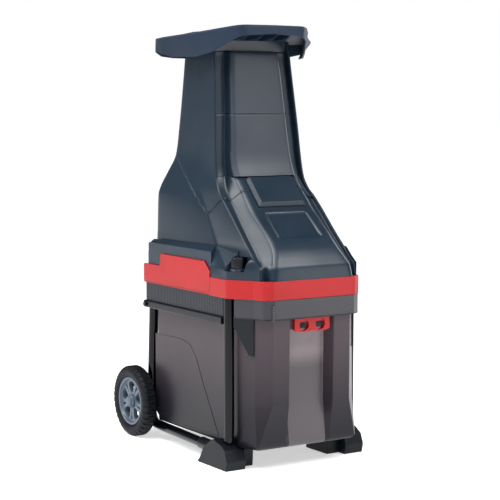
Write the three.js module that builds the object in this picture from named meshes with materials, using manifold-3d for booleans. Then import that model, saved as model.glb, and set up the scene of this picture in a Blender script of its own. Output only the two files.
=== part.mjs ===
// Electric garden wood chipper with a slide-out collecting box.
// Units are millimetres, +Z is up and the machine's front faces -Y.
import * as THREE from 'three';
import { mergeVertices } from 'three/addons/utils/BufferGeometryUtils.js';
import Module from 'manifold-3d';

const wasm = await Module();
wasm.setup();

// ---------------------------------------------------------------- driving dimensions
const GAP = 0.3;
const CENTRE_Y = 216;

const WHEEL_Z = 81;
const WHEEL_RADIUS = 81.36;
const WHEEL_INNER_X = 146;
const WHEEL_OUTER_X = 181;
const RIM_RADIUS = 55;
const AXLE_RADIUS = 6;
const AXLE_Y = 421;

const TUBE_RADIUS = 11;
const TUBE_SIDES = 12;
const TUBE_TOP_Z = 360.7;
const TUBE_RUN_Z = 32;

const FOOT_OUTER_X = 176;
const FOOT_STEP_X = 128;
const FOOT_INNER_X = 96;

const BOX_HALF_WIDTH = 138;
const BOX_REAR_Y = 367;
const BOX_BOTTOM_Z = 45;
const BOX_TOP_Z = 319.7;
const BOX_WALL = 3;

const BAND_BOTTOM_Z = 361;
const BAND_TOP_Z = 400;
const SIDE_X = 160;
const DECK_Z = 447;
const RIM_TOP_Z = 453;

const COLUMN_TOP_Z = 899.7;
const HUMP_TOP_Z = 607.6;
const PANEL_SEAM_Z = 741;
const PANEL_TOP_Z = 877;
const HOOD_SEAT_Z = 900;

const HINGE_Y = 398;
const HINGE_Z = 462;
const HINGE_PIN_RADIUS = 4;

const DISC_Y = 150;
const DISC_RADIUS = 114;
const DISC_TOP_Z = 418;
const MOTOR_RADIUS = 52;
const SHAFT_RADIUS = 8;

const KNOB_X = -144;
const KNOB_Y = 5;

const FLAP_CENTRE = new THREE.Vector3(0, 84.4, 574.4);
const UP_SLOPE = new THREE.Vector3(0, 0.7, 0.714).normalize();
const OFF_SLOPE = new THREE.Vector3(0, -0.714, 0.7).normalize();
const FLAP_PIN = [33, 4.2];

// ---------------------------------------------------------------- materials
const paint = (color, roughness, metalness) => (
  new THREE.MeshStandardMaterial({ color, roughness, metalness })
);
const MATERIALS = {
  body: paint(0x2f3d4a, 0.5, 0),
  panel: paint(0x4e545b, 0.5, 0),
  red: paint(0xc23436, 0.35, 0),
  box: paint(0x6a6064, 0.35, 0),
  collar: paint(0x64666b, 0.4, 0),
  black: paint(0x16181b, 0.4, 0),
  tube: paint(0x0c0e11, 0.15, 0.3),
  foot: paint(0x3c4048, 0.65, 0),
  tyre: paint(0x3d4044, 0.8, 0),
  rim: paint(0x87909a, 0.35, 0),
  steel: paint(0x9a9da1, 0.3, 1),
  iron: paint(0x4a4d50, 0.5, 1),
  green: paint(0x2f8a3c, 0.4, 0),
};

// ---------------------------------------------------------------- mesh helpers
function toGeometry(points, indices) {
  const geometry = new THREE.BufferGeometry();
  geometry.setAttribute('position', new THREE.Float32BufferAttribute(points.flat(), 3));
  geometry.setIndex(indices);
  return geometry;
}

function signedVolume(points, indices) {
  let volume = 0;
  for (let i = 0; i < indices.length; i += 3) {
    const [a, b, c] = [0, 1, 2].map((k) => new THREE.Vector3(...points[indices[i + k]]));
    volume += a.dot(b.cross(c));
  }
  return volume;
}

// Triangles that close a ring, wound with the ring or against it.
function capTriangles(ring, withRing) {
  const size = new THREE.Box3()
    .setFromPoints(ring.map((p) => new THREE.Vector3(...p)))
    .getSize(new THREE.Vector3())
    .toArray();
  const thinnest = size.indexOf(Math.min(...size));
  const [u, v] = [0, 1, 2].filter((k) => k !== thinnest);
  const flat = ring.map((p) => new THREE.Vector2(p[u], p[v]));
  const ringSense = Math.sign(THREE.ShapeUtils.area(flat));
  return THREE.ShapeUtils.triangulateShape(flat, []).map(([a, b, c]) => {
    const sense = Math.sign(THREE.ShapeUtils.area([flat[a], flat[b], flat[c]]));
    return (sense === ringSense) === withRing ? [a, b, c] : [a, c, b];
  });
}

// Joins equal-length rings of points into one closed body; a loop needs no end caps.
function ringSolid(rings, loop = false) {
  const count = rings[0].length;
  const points = rings.flat();
  const indices = [];
  const bands = loop ? rings.length : rings.length - 1;
  for (let r = 0; r < bands; r += 1) {
    const low = r * count;
    const high = ((r + 1) % rings.length) * count;
    for (let i = 0; i < count; i += 1) {
      const j = (i + 1) % count;
      indices.push(low + i, low + j, high + j, low + i, high + j, high + i);
    }
  }
  if (!loop) {
    const last = (rings.length - 1) * count;
    capTriangles(rings[0], false).forEach((t) => indices.push(...t));
    capTriangles(rings[rings.length - 1], true).forEach((t) => indices.push(...t.map((k) => k + last)));
  }
  if (signedVolume(points, indices) < 0) {
    indices.reverse();
  }
  return toGeometry(points, indices);
}

const at = (values, i) => (Array.isArray(values) ? values[i] : values);
const ringZ = (outline, z) => outline.map(([x, y], i) => [x, y, at(z, i)]);
const prism = (outline, low, high) => ringSolid([ringZ(outline, low), ringZ(outline, high)]);
const plateX = (outlineYZ, x0, x1) => ringSolid([x0, x1].map((x) => outlineYZ.map(([y, z]) => [x, y, z])));
const barY = (outlineXZ, y0, y1) => ringSolid([y0, y1].map((y) => outlineXZ.map(([x, z]) => [x, y, z])));
const block = (x0, x1, y0, y1, z0, z1) => prism([[x0, y0], [x1, y0], [x1, y1], [x0, y1]], z0, z1);

// Mirrors a half outline, listed from the front centre to the rear centre, about X = 0.
const symmetric = (half) => [...half, ...half.slice(1, -1).reverse().map(([x, y]) => [-x, y])];

// Moves every side of an outline inwards by the same distance.
function inset(outline, distance) {
  const points = outline.map(([x, y]) => new THREE.Vector2(x, y));
  const sense = Math.sign(THREE.ShapeUtils.area(points));
  const normal = (a, b) => new THREE.Vector2(a.y - b.y, b.x - a.x).normalize().multiplyScalar(sense);
  return points.map((p, i) => {
    const before = points[(i + points.length - 1) % points.length];
    const after = points[(i + 1) % points.length];
    const n0 = normal(before, p);
    const n1 = normal(p, after);
    const bisector = n0.clone().add(n1);
    const move = bisector.multiplyScalar((2 * distance) / bisector.lengthSq());
    return [p.x + move.x, p.y + move.y];
  });
}

// A body of revolution about a line through centre along the named axis.
function turned(profile, sides, centre, axis, loop = false) {
  const [h, u, v] = { x: [0, 1, 2], y: [1, 2, 0], z: [2, 0, 1] }[axis];
  const rings = profile.map(([radius, along]) => Array.from({ length: sides }, (unused, k) => {
    const angle = ((k + 0.5) * 2 * Math.PI) / sides;
    const point = [0, 0, 0];
    point[h] = centre[h] + along;
    point[u] = centre[u] + radius * Math.cos(angle);
    point[v] = centre[v] + radius * Math.sin(angle);
    return point;
  }));
  return ringSolid(rings, loop);
}
const rod = (radius, from, to, sides, centre, axis) => (
  turned([[radius, from], [radius, to]], sides, centre, axis)
);

// A round bar along a polyline, mitred at each point.
function sweep(path, radius, sides) {
  const points = path.map((p) => new THREE.Vector3(...p));
  const rings = [];
  let side = new THREE.Vector3(1, 0, 0);
  points.forEach((p, i) => {
    const before = p.clone().sub(points[Math.max(i - 1, 0)]).normalize();
    const after = points[Math.min(i + 1, points.length - 1)].clone().sub(p).normalize();
    const along = before.clone().add(after).normalize();
    side = side.clone().sub(along.clone().multiplyScalar(side.dot(along))).normalize();
    const up = along.clone().cross(side);
    rings.push(Array.from({ length: sides }, (unused, k) => {
      const angle = ((k + 0.5) * 2 * Math.PI) / sides;
      return p.clone()
        .addScaledVector(side, radius * Math.cos(angle))
        .addScaledVector(up, radius * Math.sin(angle))
        .toArray();
    }));
  });
  return ringSolid(rings);
}

// Points of a path whose inner corners are replaced by arcs.
function rounded(corners, radii, steps) {
  const points = corners.map((p) => new THREE.Vector3(...p));
  const path = [corners[0]];
  for (let i = 1; i < points.length - 1; i += 1) {
    const toBefore = points[i - 1].clone().sub(points[i]).normalize();
    const toAfter = points[i + 1].clone().sub(points[i]).normalize();
    const half = toBefore.angleTo(toAfter) / 2;
    const bisector = toBefore.clone().add(toAfter).normalize();
    const centre = points[i].clone().addScaledVector(bisector, radii[i - 1] / Math.sin(half));
    const reach = radii[i - 1] / Math.tan(half);
    const start = points[i].clone().addScaledVector(toBefore, reach).sub(centre);
    const end = points[i].clone().addScaledVector(toAfter, reach).sub(centre);
    const sweepAngle = start.angleTo(end);
    for (let k = 0; k <= steps; k += 1) {
      const t = k / steps;
      const point = start.clone().multiplyScalar(Math.sin((1 - t) * sweepAngle) / Math.sin(sweepAngle))
        .addScaledVector(end, Math.sin(t * sweepAngle) / Math.sin(sweepAngle))
        .add(centre);
      path.push(point.toArray());
    }
  }
  path.push(corners[corners.length - 1]);
  return path;
}

// ---------------------------------------------------------------- boolean helpers
function toSolid(geometry) {
  const welded = mergeVertices(geometry, 1e-4);
  return new wasm.Manifold(new wasm.Mesh({
    numProp: 3,
    vertProperties: new Float32Array(welded.getAttribute('position').array),
    triVerts: new Uint32Array(welded.index.array),
  }));
}

function fromSolid(solid) {
  const mesh = solid.getMesh();
  const geometry = new THREE.BufferGeometry();
  geometry.setAttribute('position', new THREE.Float32BufferAttribute(mesh.vertProperties, 3));
  geometry.setIndex(Array.from(mesh.triVerts));
  return geometry;
}

const join = (...pieces) => fromSolid(pieces.map(toSolid).reduce((a, b) => a.add(b)));
const cut = (body, ...tools) => fromSolid(tools.map(toSolid).reduce((a, b) => a.subtract(b), toSolid(body)));
const keep = (body, region) => fromSolid(toSolid(body).intersect(toSolid(region)));

function mirrored(geometry) {
  const copy = geometry.clone();
  copy.scale(-1, 1, 1);
  copy.setIndex(Array.from(copy.index.array).reverse());
  return copy;
}

// Places a body drawn as x, distance up the slope and distance off the slope.
function onSlope(geometry) {
  const copy = geometry.clone();
  const frame = new THREE.Matrix4().makeBasis(new THREE.Vector3(1, 0, 0), UP_SLOPE, OFF_SLOPE);
  copy.applyMatrix4(frame.setPosition(FLAP_CENTRE));
  return copy;
}

const chipper = new THREE.Group();
chipper.name = 'wood_chipper';

function part(name, geometry, material) {
  const placed = geometry.clone();
  placed.translate(0, -CENTRE_Y, 0);
  placed.computeVertexNormals();
  const mesh = new THREE.Mesh(placed, MATERIALS[material]);
  mesh.name = name;
  chipper.add(mesh);
}

function pair(name, geometry, material) {
  part(`${name}_left`, geometry, material);
  part(`${name}_right`, mirrored(geometry), material);
}

// ---------------------------------------------------------------- tubular frame and feet
const tubeCorners = [
  [-154, 22, TUBE_TOP_Z], [-154, 22, TUBE_RUN_Z], [-137, 311, TUBE_RUN_Z], [-130.5, 402, TUBE_RUN_Z],
  [-130, 384, TUBE_TOP_Z - 0.6],
];
const tubePath = rounded(tubeCorners, [52, 150, 34], 6);
const tube = sweep(tubePath, TUBE_RADIUS, TUBE_SIDES);
pair('frame_tube', tube, 'tube');

const tubeSpace = sweep(tubePath, TUBE_RADIUS + GAP, TUBE_SIDES);
const footSide = [[0, 0], [-5, 20], [4, 42], [22, 53], [52, 61], [70, 52], [94, 35], [106, 13], [120, 0]];
const footInnerSide = [[20, 0], [18, 38], [44, 46], [72, 40], [96, 24], [104, 0]];
const foot = cut(
  join(plateX(footSide, -FOOT_OUTER_X, -FOOT_STEP_X), plateX(footInnerSide, -FOOT_STEP_X - 1, -FOOT_INNER_X)),
  tubeSpace,
  block(-BOX_HALF_WIDTH - 1.5, -90, -20, 140, BOX_BOTTOM_Z - 1.2, 100),
);
pair('front_foot', foot, 'foot');

const sleeve = cut(
  keep(sweep(tubePath, TUBE_RADIUS + 2.5, TUBE_SIDES), block(-190, -120, 107, 146, 0, 80)),
  tubeSpace,
);
pair('tube_sleeve', sleeve, 'black');

const wheelCentre = [0, AXLE_Y, WHEEL_Z];
part('axle', rod(AXLE_RADIUS, -178, 178, 16, wheelCentre, 'x'), 'steel');
const bracket = cut(
  block(-143, -119, 392, 433, 67, 97),
  tubeSpace,
  block(-144, -118, 380, 401, 60, 100),
  rod(AXLE_RADIUS + GAP, -150, -110, 16, wheelCentre, 'x'),
);
pair('axle_bracket', bracket, 'black');

// ---------------------------------------------------------------- wheels
const tyre = turned(
  [[55.3, -152], [60, -147.5], [70, -WHEEL_INNER_X], [78, -149], [WHEEL_RADIUS, -154],
    [WHEEL_RADIUS, -173], [78, -178], [70, -WHEEL_OUTER_X], [60, -179.5], [55.3, -176]],
  32,
  wheelCentre,
  'x',
  true,
);

const polar = (radius, degrees) => {
  const angle = (degrees * Math.PI) / 180;
  return [AXLE_Y + radius * Math.cos(angle), WHEEL_Z + radius * Math.sin(angle)];
};
const spokeOpenings = [0, 1, 2, 3, 4].flatMap((k) => {
  const middle = 90 + k * 72;
  const petal = [[19, -9], [26, -17], [40, -21], [44, -14], [46, 0], [44, 14], [40, 21], [26, 17], [19, 9]];
  const slot = [[24, 34.5], [43.5, 31], [43.5, 41], [24, 37.5]];
  return [petal, slot].map((shape) => plateX(shape.map(([r, a]) => polar(r, middle + a)), -190, -140));
});
const rim = cut(
  join(
    turned([[47, -151], [RIM_RADIUS, -151], [RIM_RADIUS, -177], [47, -177]], 32, wheelCentre, 'x', true),
    rod(47.5, -172, -162, 32, wheelCentre, 'x'),
    rod(14, -178, -148, 20, wheelCentre, 'x'),
  ),
  ...spokeOpenings,
  rod(AXLE_RADIUS + 0.2, -190, -140, 16, wheelCentre, 'x'),
);
const hubCap = cut(
  turned([[12, -178.3], [12, -181], [8.5, -183]], 20, wheelCentre, 'x'),
  rod(AXLE_RADIUS + GAP, -180, -170, 16, wheelCentre, 'x'),
);
pair('tyre', tyre, 'tyre');
pair('wheel_rim', rim, 'rim');
pair('hub_cap', hubCap, 'black');

// ---------------------------------------------------------------- collecting box
const boxSection = (front, recess, chamferX, chamferY, cornerX, cornerY) => [
  [0, recess], [46, recess], [56, front], [chamferX, front], [cornerX, chamferY],
  [BOX_HALF_WIDTH, cornerY], [BOX_HALF_WIDTH, BOX_REAR_Y - 12],
  [BOX_HALF_WIDTH - 12, BOX_REAR_Y], [0, BOX_REAR_Y],
];
const boxLevels = [
  [BOX_BOTTOM_Z, boxSection(-38, -38, 118, -36, 121, 12)],
  [BOX_BOTTOM_Z + 8, boxSection(-44, -43, 123, -41, 126, 10)],
  [137, boxSection(-57, -31, 98, -32, 124, 10)],
  [BOX_TOP_Z, boxSection(-60, -33, 97, -30, 123, 10)],
];
const boxShell = ringSolid(boxLevels.map(([z, half]) => ringZ(symmetric(half), z)));
const boxHollow = ringSolid([
  [BOX_BOTTOM_Z + BOX_WALL, boxLevels[0][1]], ...boxLevels.slice(1, 3), [BOX_TOP_Z + 1, boxLevels[3][1]],
].map(([z, half]) => ringZ(inset(symmetric(half), BOX_WALL), z)));
const runner = block(-142, -BOX_HALF_WIDTH + 1, 36, 350, 311.6, 315.6);
part('collecting_box', cut(join(boxShell, runner, mirrored(runner)), boxHollow), 'box');

const collarHalf = [
  [0, -70], [100, -69], [120, -57.5], [128.5, -33], [153.5, 5.5], [139, 5.5], [0, 5.5],
];
const collarOutline = symmetric(collarHalf);
const boxMouth = inset(symmetric(boxSection(-60, -33, 97, -30, 123, 10)), BOX_WALL);
const ear = join(
  prism([[-127.7, -31.5], [-133.5, -22.5], [-130.7, -20.7], [-124.9, -29.7]], 243, 322),
  prism([[-133.4, -22.7], [-152.8, 7], [-150, 8.8], [-130.6, -20.9]], [243, 302, 302, 243], 322),
);
const collar = cut(
  join(prism(collarOutline, 320, 360.7), ear, mirrored(ear)),
  prism(inset(collarOutline, 4), 323, 365),
  prism(boxMouth, 300, 365),
  block(-35, 35, -58, -49, 310, 330),
  block(-135, 135, -20, 10, 300, 370),
);
const boxClearance = prism(symmetric(boxSection(-60.4, -33, 97.3, -30.4, 123.4, 10)), 230, BOX_TOP_Z + 0.2);
part('box_collar', cut(collar, boxClearance), 'collar');

const fingerHoles = [-20.5, 20.5].map((x) => rod(12, -70, -30, 24, [x, 0, 304.5], 'y'));
const latchFront = [
  [-44, 293], [-37, 289], [-20, 286.5], [0, 290], [20, 286.5], [37, 289], [44, 293], [44, 318], [-44, 318],
];
const latch = cut(
  join(barY(latchFront, -60, -50), block(-34, 34, -57, -50, 316, 332)),
  ...fingerHoles,
);
part('box_latch', latch, 'red');

// ---------------------------------------------------------------- red band and trim
const bandHalf = [
  [0, -69.5], [103, -68], [122, -57], [130, -33], [163, 14], [164.5, 20], [164.5, 83.7], [SIDE_X, 83.7],
  [SIDE_X, 375], [156.7, 387.5], [147.5, 396.7], [135, 400], [0, 400],
];
const plainHalf = bandHalf.filter(([, y]) => y !== 83.7);
const bandOutline = symmetric(bandHalf);
const bandInner = inset(symmetric([...plainHalf.slice(0, 5), [164, 20], [164, 60], [SIDE_X, 84],
  ...plainHalf.slice(6)]), 3.5);
part('red_band', cut(prism(bandOutline, BAND_BOTTOM_Z, BAND_TOP_Z), prism(bandInner, 350, 410)), 'red');

const sidePanel = [[84.2, 367], [372, 367], [372, 405], [300, 405], [295, 432], [109, 432], [84.2, 410]];
pair('side_panel', plateX(sidePanel, -SIDE_X - 4.5, -SIDE_X - GAP), 'red');

pair('side_skirt', block(-SIDE_X, -156.3, 36, 370, 321.3, 360.7), 'collar');
const railSection = [[-139, 305], [-139, 311], [-150, 311], [-150, 360.7], [-156, 360.7],
  [-156, 321], [-165.5, 321], [-165.5, 305]];
pair('box_rail', barY(railSection, 36, 372), 'black');
pair('rail_bolt', rod(5.5, -170, -165.8, 12, [0, 362, 313], 'x'), 'steel');

// ---------------------------------------------------------------- deck
const deckOutline = inset(bandInner, GAP);
const deckBase = prism(deckOutline, BAND_BOTTOM_Z, BAND_TOP_Z + 1);
const upperDeck = prism(symmetric([[0, 0.3], [122.9, 0.3], [146, 84], [SIDE_X, 84], [SIDE_X, 356],
  [150, 376], [136, 386], [0, 386]]), BAND_TOP_Z + GAP, DECK_Z);
const ledge = prism(
  [[-122.9, -47], [-126, -34], [-161, 15], [-162, 21],
    [-162, 84.2], [-146.4, 84.2], [-125.4, -8], [-122.9, -30]],
  BAND_TOP_Z + GAP,
  [427, 421, 421, 421, 421, 466, 457, 440],
);
const sideRim = prism(
  [[-SIDE_X, 84], [-SIDE_X, 356], [-150, 376], [-139, 376], [-146.4, 356], [-146.4, 84]],
  DECK_Z - 1,
  [RIM_TOP_Z, RIM_TOP_Z, DECK_Z, DECK_Z, 460, 466],
);
const deckLug = (x0, x1) => plateX(
  [[384, 440], [404, 440], [407, 458], [407, 464], [402, 471], [394, 471], [389, 464], [386.5, 447]], x0, x1,
);
const lugs = [[70, 76], [94, 100]].flatMap(([a, b]) => [deckLug(a, b), deckLug(-b, -a)]);
const pinHole = rod(HINGE_PIN_RADIUS + 0.1, -120, 120, 24, [0, HINGE_Y, HINGE_Z], 'x');
const knobCentre = [KNOB_X, KNOB_Y, 0];
const corner = prism([[-149, 8], [-134, 8], [-134, 40], [-149, 40]], BAND_BOTTOM_Z, 430);
const rearSeat = block(-143, -112, 368, 390, BAND_BOTTOM_Z, 430);
const throat = block(-58, 58, 209, 262, 430, 460);
const motorSeat = rod(30, 430, 460, 24, [0, DISC_Y, 0], 'z');
const discSpace = prism(symmetric([[0, 6], [118, 6], [138, 60], [138, 376], [0, 376]]), 350, DECK_Z - 6);
const frontHollow = [...plainHalf.slice(0, 5), [158, 22], [158, 370], [140, 394], [0, 394]];
const frontSpace = prism(inset(symmetric(frontHollow), 9), 350, BAND_TOP_Z - 5);
const deck = cut(
  join(
    cut(
      join(deckBase, upperDeck, ledge, mirrored(ledge), sideRim, mirrored(sideRim)),
      discSpace,
      frontSpace,
      block(-122.8, 122.8, -90, 0.3, BAND_TOP_Z, 500),
    ),
    corner,
    mirrored(corner),
    rearSeat,
    mirrored(rearSeat),
    ...lugs,
  ),
  pinHole,
  throat,
  motorSeat,
  rod(20, 417.4, 480, 20, knobCentre, 'z'),
  prism([[-170, -30], [KNOB_X, -12], [KNOB_X, 22], [-175, 30]], 417.4, 480),
  rod(7, 410, 480, 16, knobCentre, 'z'),
  prism([[KNOB_X, KNOB_Y - 19], [-110, -19], [-110, 14], [KNOB_X, KNOB_Y + 19]], 417.4, 480),
);
part('deck', deck, 'body');

// ---------------------------------------------------------------- upper housing and hopper
// Each level: height, front edge x and y, groove depth, hump half-width at its face and at its root,
// hump face y, widest point x and y, rear corner x and y, rear face y.
const LEVELS = [
  [400.3, 122, -50, 10, 103, 106, -68, 122.4, -8, 137, 366, 383],
  [425, 122, -44, 10, 98, 105, -64, 122.4, -8, 137, 366, 383],
  [440, 121.8, -26, 10, 90, 104, -56, 122.4, -7, 137, 366, 383],
  [DECK_Z, 121.7, -19, 10, 87, 104, -51, 122.6, -6, 137, 366, 383],
  [DECK_Z + 0.3, 121.7, -18.7, 10, 87, 104, -50.8, 145.8, 84, 137, 366, 383],
  [460, 121.3, -5, 10, 82, 103, -42, 145, 86, 136.5, 366, 383],
  [480, 120.6, 17, 10, 79, 102, -22.5, 142.5, 100, 136, 365, 383],
  [540, 120, 80, 10, 78, 98, 50.7, 134, 150, 135.5, 363, 382],
  [560, 119.2, 102, 10, 78, 96, 70.3, 130, 168, 135, 362, 380],
  [580, 116.6, 124.4, 10, 78, 92, 89.9, 125, 190, 131, 357, 376],
  [HUMP_TOP_Z - 0.3, 114, 139, 12, 78, 88, 116.7, 119, 210, 123, 342, 366],
  [HUMP_TOP_Z, 114, 139, 12, 80, 84, null, 119, 210, 123, 342, 366],
  [650, 111.7, 146.5, 14, 74, 77, null, 112.5, 226, 111, 320, 350],
  [700, 109.1, 152, 14, 72, 75, null, 108.8, 232, 106.8, 314, 344],
  [862, 99.3, 171.5, 14, 62, 65, null, 99, 237, 97, 302, 332],
  [COLUMN_TOP_Z, 97.5, 176, 8, 60, 63, null, 97, 238, 95.5, 299, 328],
];

function outerSection([, xf, yf, groove, xt, xb, yh, xm, ym, xr, yr, yb]) {
  const floor = yf + groove;
  const face = yh ?? floor;
  return symmetric([
    [0, face], [xt, yh === null ? floor : face + 1.5], [xb, floor], [xf - 7, floor],
    [xf - 5, yf], [xf, yf + 1], [xm, ym], [xr, yr], [xr - 24, yb], [0, yb + 2],
  ]);
}

function innerSection([, xf, yf, groove, xt, xb, yh, xm, ym, xr, yr, yb]) {
  const floor = yf + groove + 4;
  const face = yh === null ? floor : yh + 5;
  return symmetric([
    [0, face], [xt - 4, yh === null ? floor : face + 1.5], [xb - 3, floor], [xf - 10, floor],
    [xf - 7, floor + 0.5], [xf - 4, floor + 3], [xm - 4, ym + 2], [xr - 4, yr - 1],
    [xr - 27, yb - 4], [0, yb - 2],
  ]);
}

const innerHeight = (z) => {
  if (z === HUMP_TOP_Z) return z - 4;
  if (z === HUMP_TOP_Z - 0.3) return z - 4;
  if (z === COLUMN_TOP_Z) return z + 2;
  return z === LEVELS[0][0] ? z - 2 : z;
};
const shell = cut(
  ringSolid(LEVELS.map((level) => ringZ(outerSection(level), level[0]))),
  ringSolid(LEVELS.map((level) => ringZ(innerSection(level), innerHeight(level[0])))),
);

const aboveSeam = plateX(
  [[140, 523], [320, 649], [420, 700], [420, 1000], [-150, 1000], [-150, 845]], -250, 250,
);
const belowSeam = plateX(
  [[140, 522.6], [320, 648.6], [430, 700], [430, 300], [-150, 300], [-150, 844.4]], -250, 250,
);
const switchWell = onSlope(block(-46, 46, -28, 24, -20, 8));
const hopper = cut(keep(shell, aboveSeam), switchWell);
part('hopper', hopper, 'body');

const deckClearance = block(-200, 200, 0, 420, 380, DECK_Z + GAP);
const housingLug = (x0, x1) => plateX(
  [[376, 447.6], [384, 447.6], [395, 452], [404, 454], [407, 462], [404, 470], [395, 472], [376, 485]],
  x0,
  x1,
);
// The slope between the switch cover and the front edge, as a frame for the sunken panel.
const PANEL_ORIGIN = new THREE.Vector3(0, -10, 491);
const PANEL_TILT = Math.atan2(0.634, 0.773);
function onFrontSlope(geometry) {
  const copy = geometry.clone();
  copy.rotateX(PANEL_TILT);
  copy.translate(...PANEL_ORIGIN.toArray());
  return copy;
}
const panelWindow = onFrontSlope(prism([[-52.3, -8.8], [52.3, -8.8], [50.3, 62.3], [-50.3, 62.3]], -16, 8));

const knobLug = cut(
  prism([[KNOB_X - 12, KNOB_Y - 9], [KNOB_X, KNOB_Y - 11.5], [-118, -14], [-118, 8], [KNOB_X, KNOB_Y + 11.5],
    [KNOB_X - 12, KNOB_Y + 9]], 417.9, 424),
  rod(4.3, 400, 440, 16, knobCentre, 'z'),
);
const inletX = 62;
const inletCentre = [inletX, 0, 505];
const inletHole = rod(21.3, 370, 400, 24, inletCentre, 'y');
const housing = cut(
  join(
    cut(keep(shell, belowSeam), deckClearance),
    housingLug(76.4, 93.6),
    housingLug(-93.6, -76.4),
    knobLug,
  ),
  pinHole,
  switchWell,
  panelWindow,
  inletHole,
);
part('upper_housing', housing, 'body');

pair('hinge_pin', rod(HINGE_PIN_RADIUS, -104, -66, 24, [0, HINGE_Y, HINGE_Z], 'x'), 'steel');

// ---------------------------------------------------------------- front panels of the column
const panelSection = (halfWidth, face) => [
  [0, face], [halfWidth - 4, face + 1], [halfWidth, face + 4], [halfWidth + 3, face + 24], [0, face + 24],
];
const PANEL_LEVELS = [
  [608, 78, 114], [622, 78, 121], [640, 77, 127.5], [660, 76, 132.4], [700, 73, 137.8],
  [PANEL_SEAM_Z, 70.4, 143.2], [862, 62.4, 158.6], [872, 61, 160.5], [PANEL_TOP_Z, 59, 165],
];
const panelBody = ringSolid(PANEL_LEVELS.map(([z, w, face]) => ringZ(symmetric(panelSection(w, face)), z)));
const columnSpace = ringSolid([
  [600, 153], [650, 160], [700, 165.6], [862, 185], [900, 183.5],
].map(([z, y]) => ringZ([[-120, y], [120, y], [120, 400], [-120, 400]], z)));
const frontPanel = cut(panelBody, columnSpace);
part('front_panel_lower', keep(frontPanel, block(-100, 100, 90, 250, 600, PANEL_SEAM_Z - GAP)), 'panel');
part('front_panel_upper', keep(frontPanel, block(-100, 100, 90, 250, PANEL_SEAM_Z, 900)), 'panel');

// ---------------------------------------------------------------- hood with the feed mouth
// Each station: upper edge x, y, z, then lower edge x, y, z, then mouth x, y and seat x, y.
const HOOD = [
  [0, 84, 930, 0, 84, 911, 0, 196, 0, 172],
  [74, 85, 930, 74, 85, 910, 64, 196, 78, 172],
  [90, 98, 929, 90, 98, 900, 72, 200, 98, 176],
  [121, 135, 921, 118, 142, 874, 74, 212, 101, 196],
  [150, 180, 914, 138, 178, 863.5, 74, 236, 101, 226],
  [176, 211, 909, 164.5, 233, 863, 74, 250, 101, 244],
  [196, 233, 905, 183, 250, 869, 74, 262, 101, 262],
  [200, 240, 902, 192.5, 259, 877, 74, 272, 101, 276],
  [197, 253, 903, 189, 269, 874, 74, 284, 100, 290],
  [160, 296, 908, 160, 296, 866, 74, 294, 98, 312],
  [112, 332, 914, 112, 332, 864, 70, 300, 88, 328],
  [60, 344, 917, 60, 344, 864, 56, 302, 62, 336],
  [0, 346, 918, 0, 346, 864, 0, 302, 0, 336],
];
const UPPER = 0;
const LOWER = 3;
const MOUTH = 6;
const SEAT = 8;
const bothSides = (heights) => [...heights, ...heights.slice(1, -1).reverse()];
const hoodRing = (index, z, wall = 0) => {
  const outline = symmetric(HOOD.map((s) => [s[index], s[index + 1]]));
  const heights = HOOD.map((s) => (typeof z === 'number' ? z : z(s)));
  return ringZ(wall ? inset(outline, wall) : outline, bothSides(heights));
};
const hood = ringSolid([
  hoodRing(LOWER, (s) => s[5]),
  hoodRing(UPPER, (s) => s[2]),
  hoodRing(MOUTH, 922),
  hoodRing(MOUTH, HOOD_SEAT_Z),
  hoodRing(SEAT, HOOD_SEAT_Z),
  hoodRing(UPPER, (s) => s[2] - 5, 4),
  hoodRing(LOWER, (s) => s[5], 4),
], true);
part('hood', hood, 'body');

const chuteRing = (x, y0, y1, z) => [
  [-x, y0 + 6, z], [-x + 6, y0, z], [x - 6, y0, z], [x, y0 + 6, z],
  [x, y1 - 6, z], [x - 6, y1, z], [-x + 6, y1, z], [-x, y1 - 6, z],
];
const chute = ringSolid([
  chuteRing(56, 212, 260, DECK_Z + 3),
  chuteRing(62, 212, 300, 640),
  chuteRing(76, 198, 303, 892),
  chuteRing(81, 191, 308, 892),
  chuteRing(81, 191, 308, 899.7),
  chuteRing(73, 201, 300, 899.7),
  chuteRing(59, 215, 297, 640),
  chuteRing(53, 215, 257, DECK_Z + 3),
], true);
part('feed_chute', chute, 'black');

// ---------------------------------------------------------------- switch cover and buttons
const [pinUp, pinOff] = FLAP_PIN;
const flapOuter = ringSolid([
  [[-59, -42, 0.8], [59, -42, 0.8], [59, 36, 0.8], [-59, 36, 0.8]],
  [[-58.6, -41.4, 3.4], [58.6, -41.4, 3.4], [58.6, 36, 3.4], [-58.6, 36, 3.4]],
  [[-53, -35.5, 9.6], [53, -35.5, 9.6], [53, 36, 9.6], [-53, 36, 9.6]],
]);
const flapInner = ringSolid([
  [[-56, -39, -1], [56, -39, -1], [56, 40, -1], [-56, 40, -1]],
  [[-55.6, -38.4, 2.2], [55.6, -38.4, 2.2], [55.6, 40, 2.2], [-55.6, 40, 2.2]],
  [[-51, -34, 7.2], [51, -34, 7.2], [51, 40, 7.2], [-51, 40, 7.2]],
]);
const flapBoss = block(51, 56.2, 30.2, 36, 1.4, 7.4);
const flapPinSpace = rod(1.56, -70, 70, 12, [0, pinUp, pinOff], 'x');
const flap = cut(join(cut(flapOuter, flapInner), flapBoss, mirrored(flapBoss)), flapPinSpace);
part('switch_cover', onSlope(flap), 'body');

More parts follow.
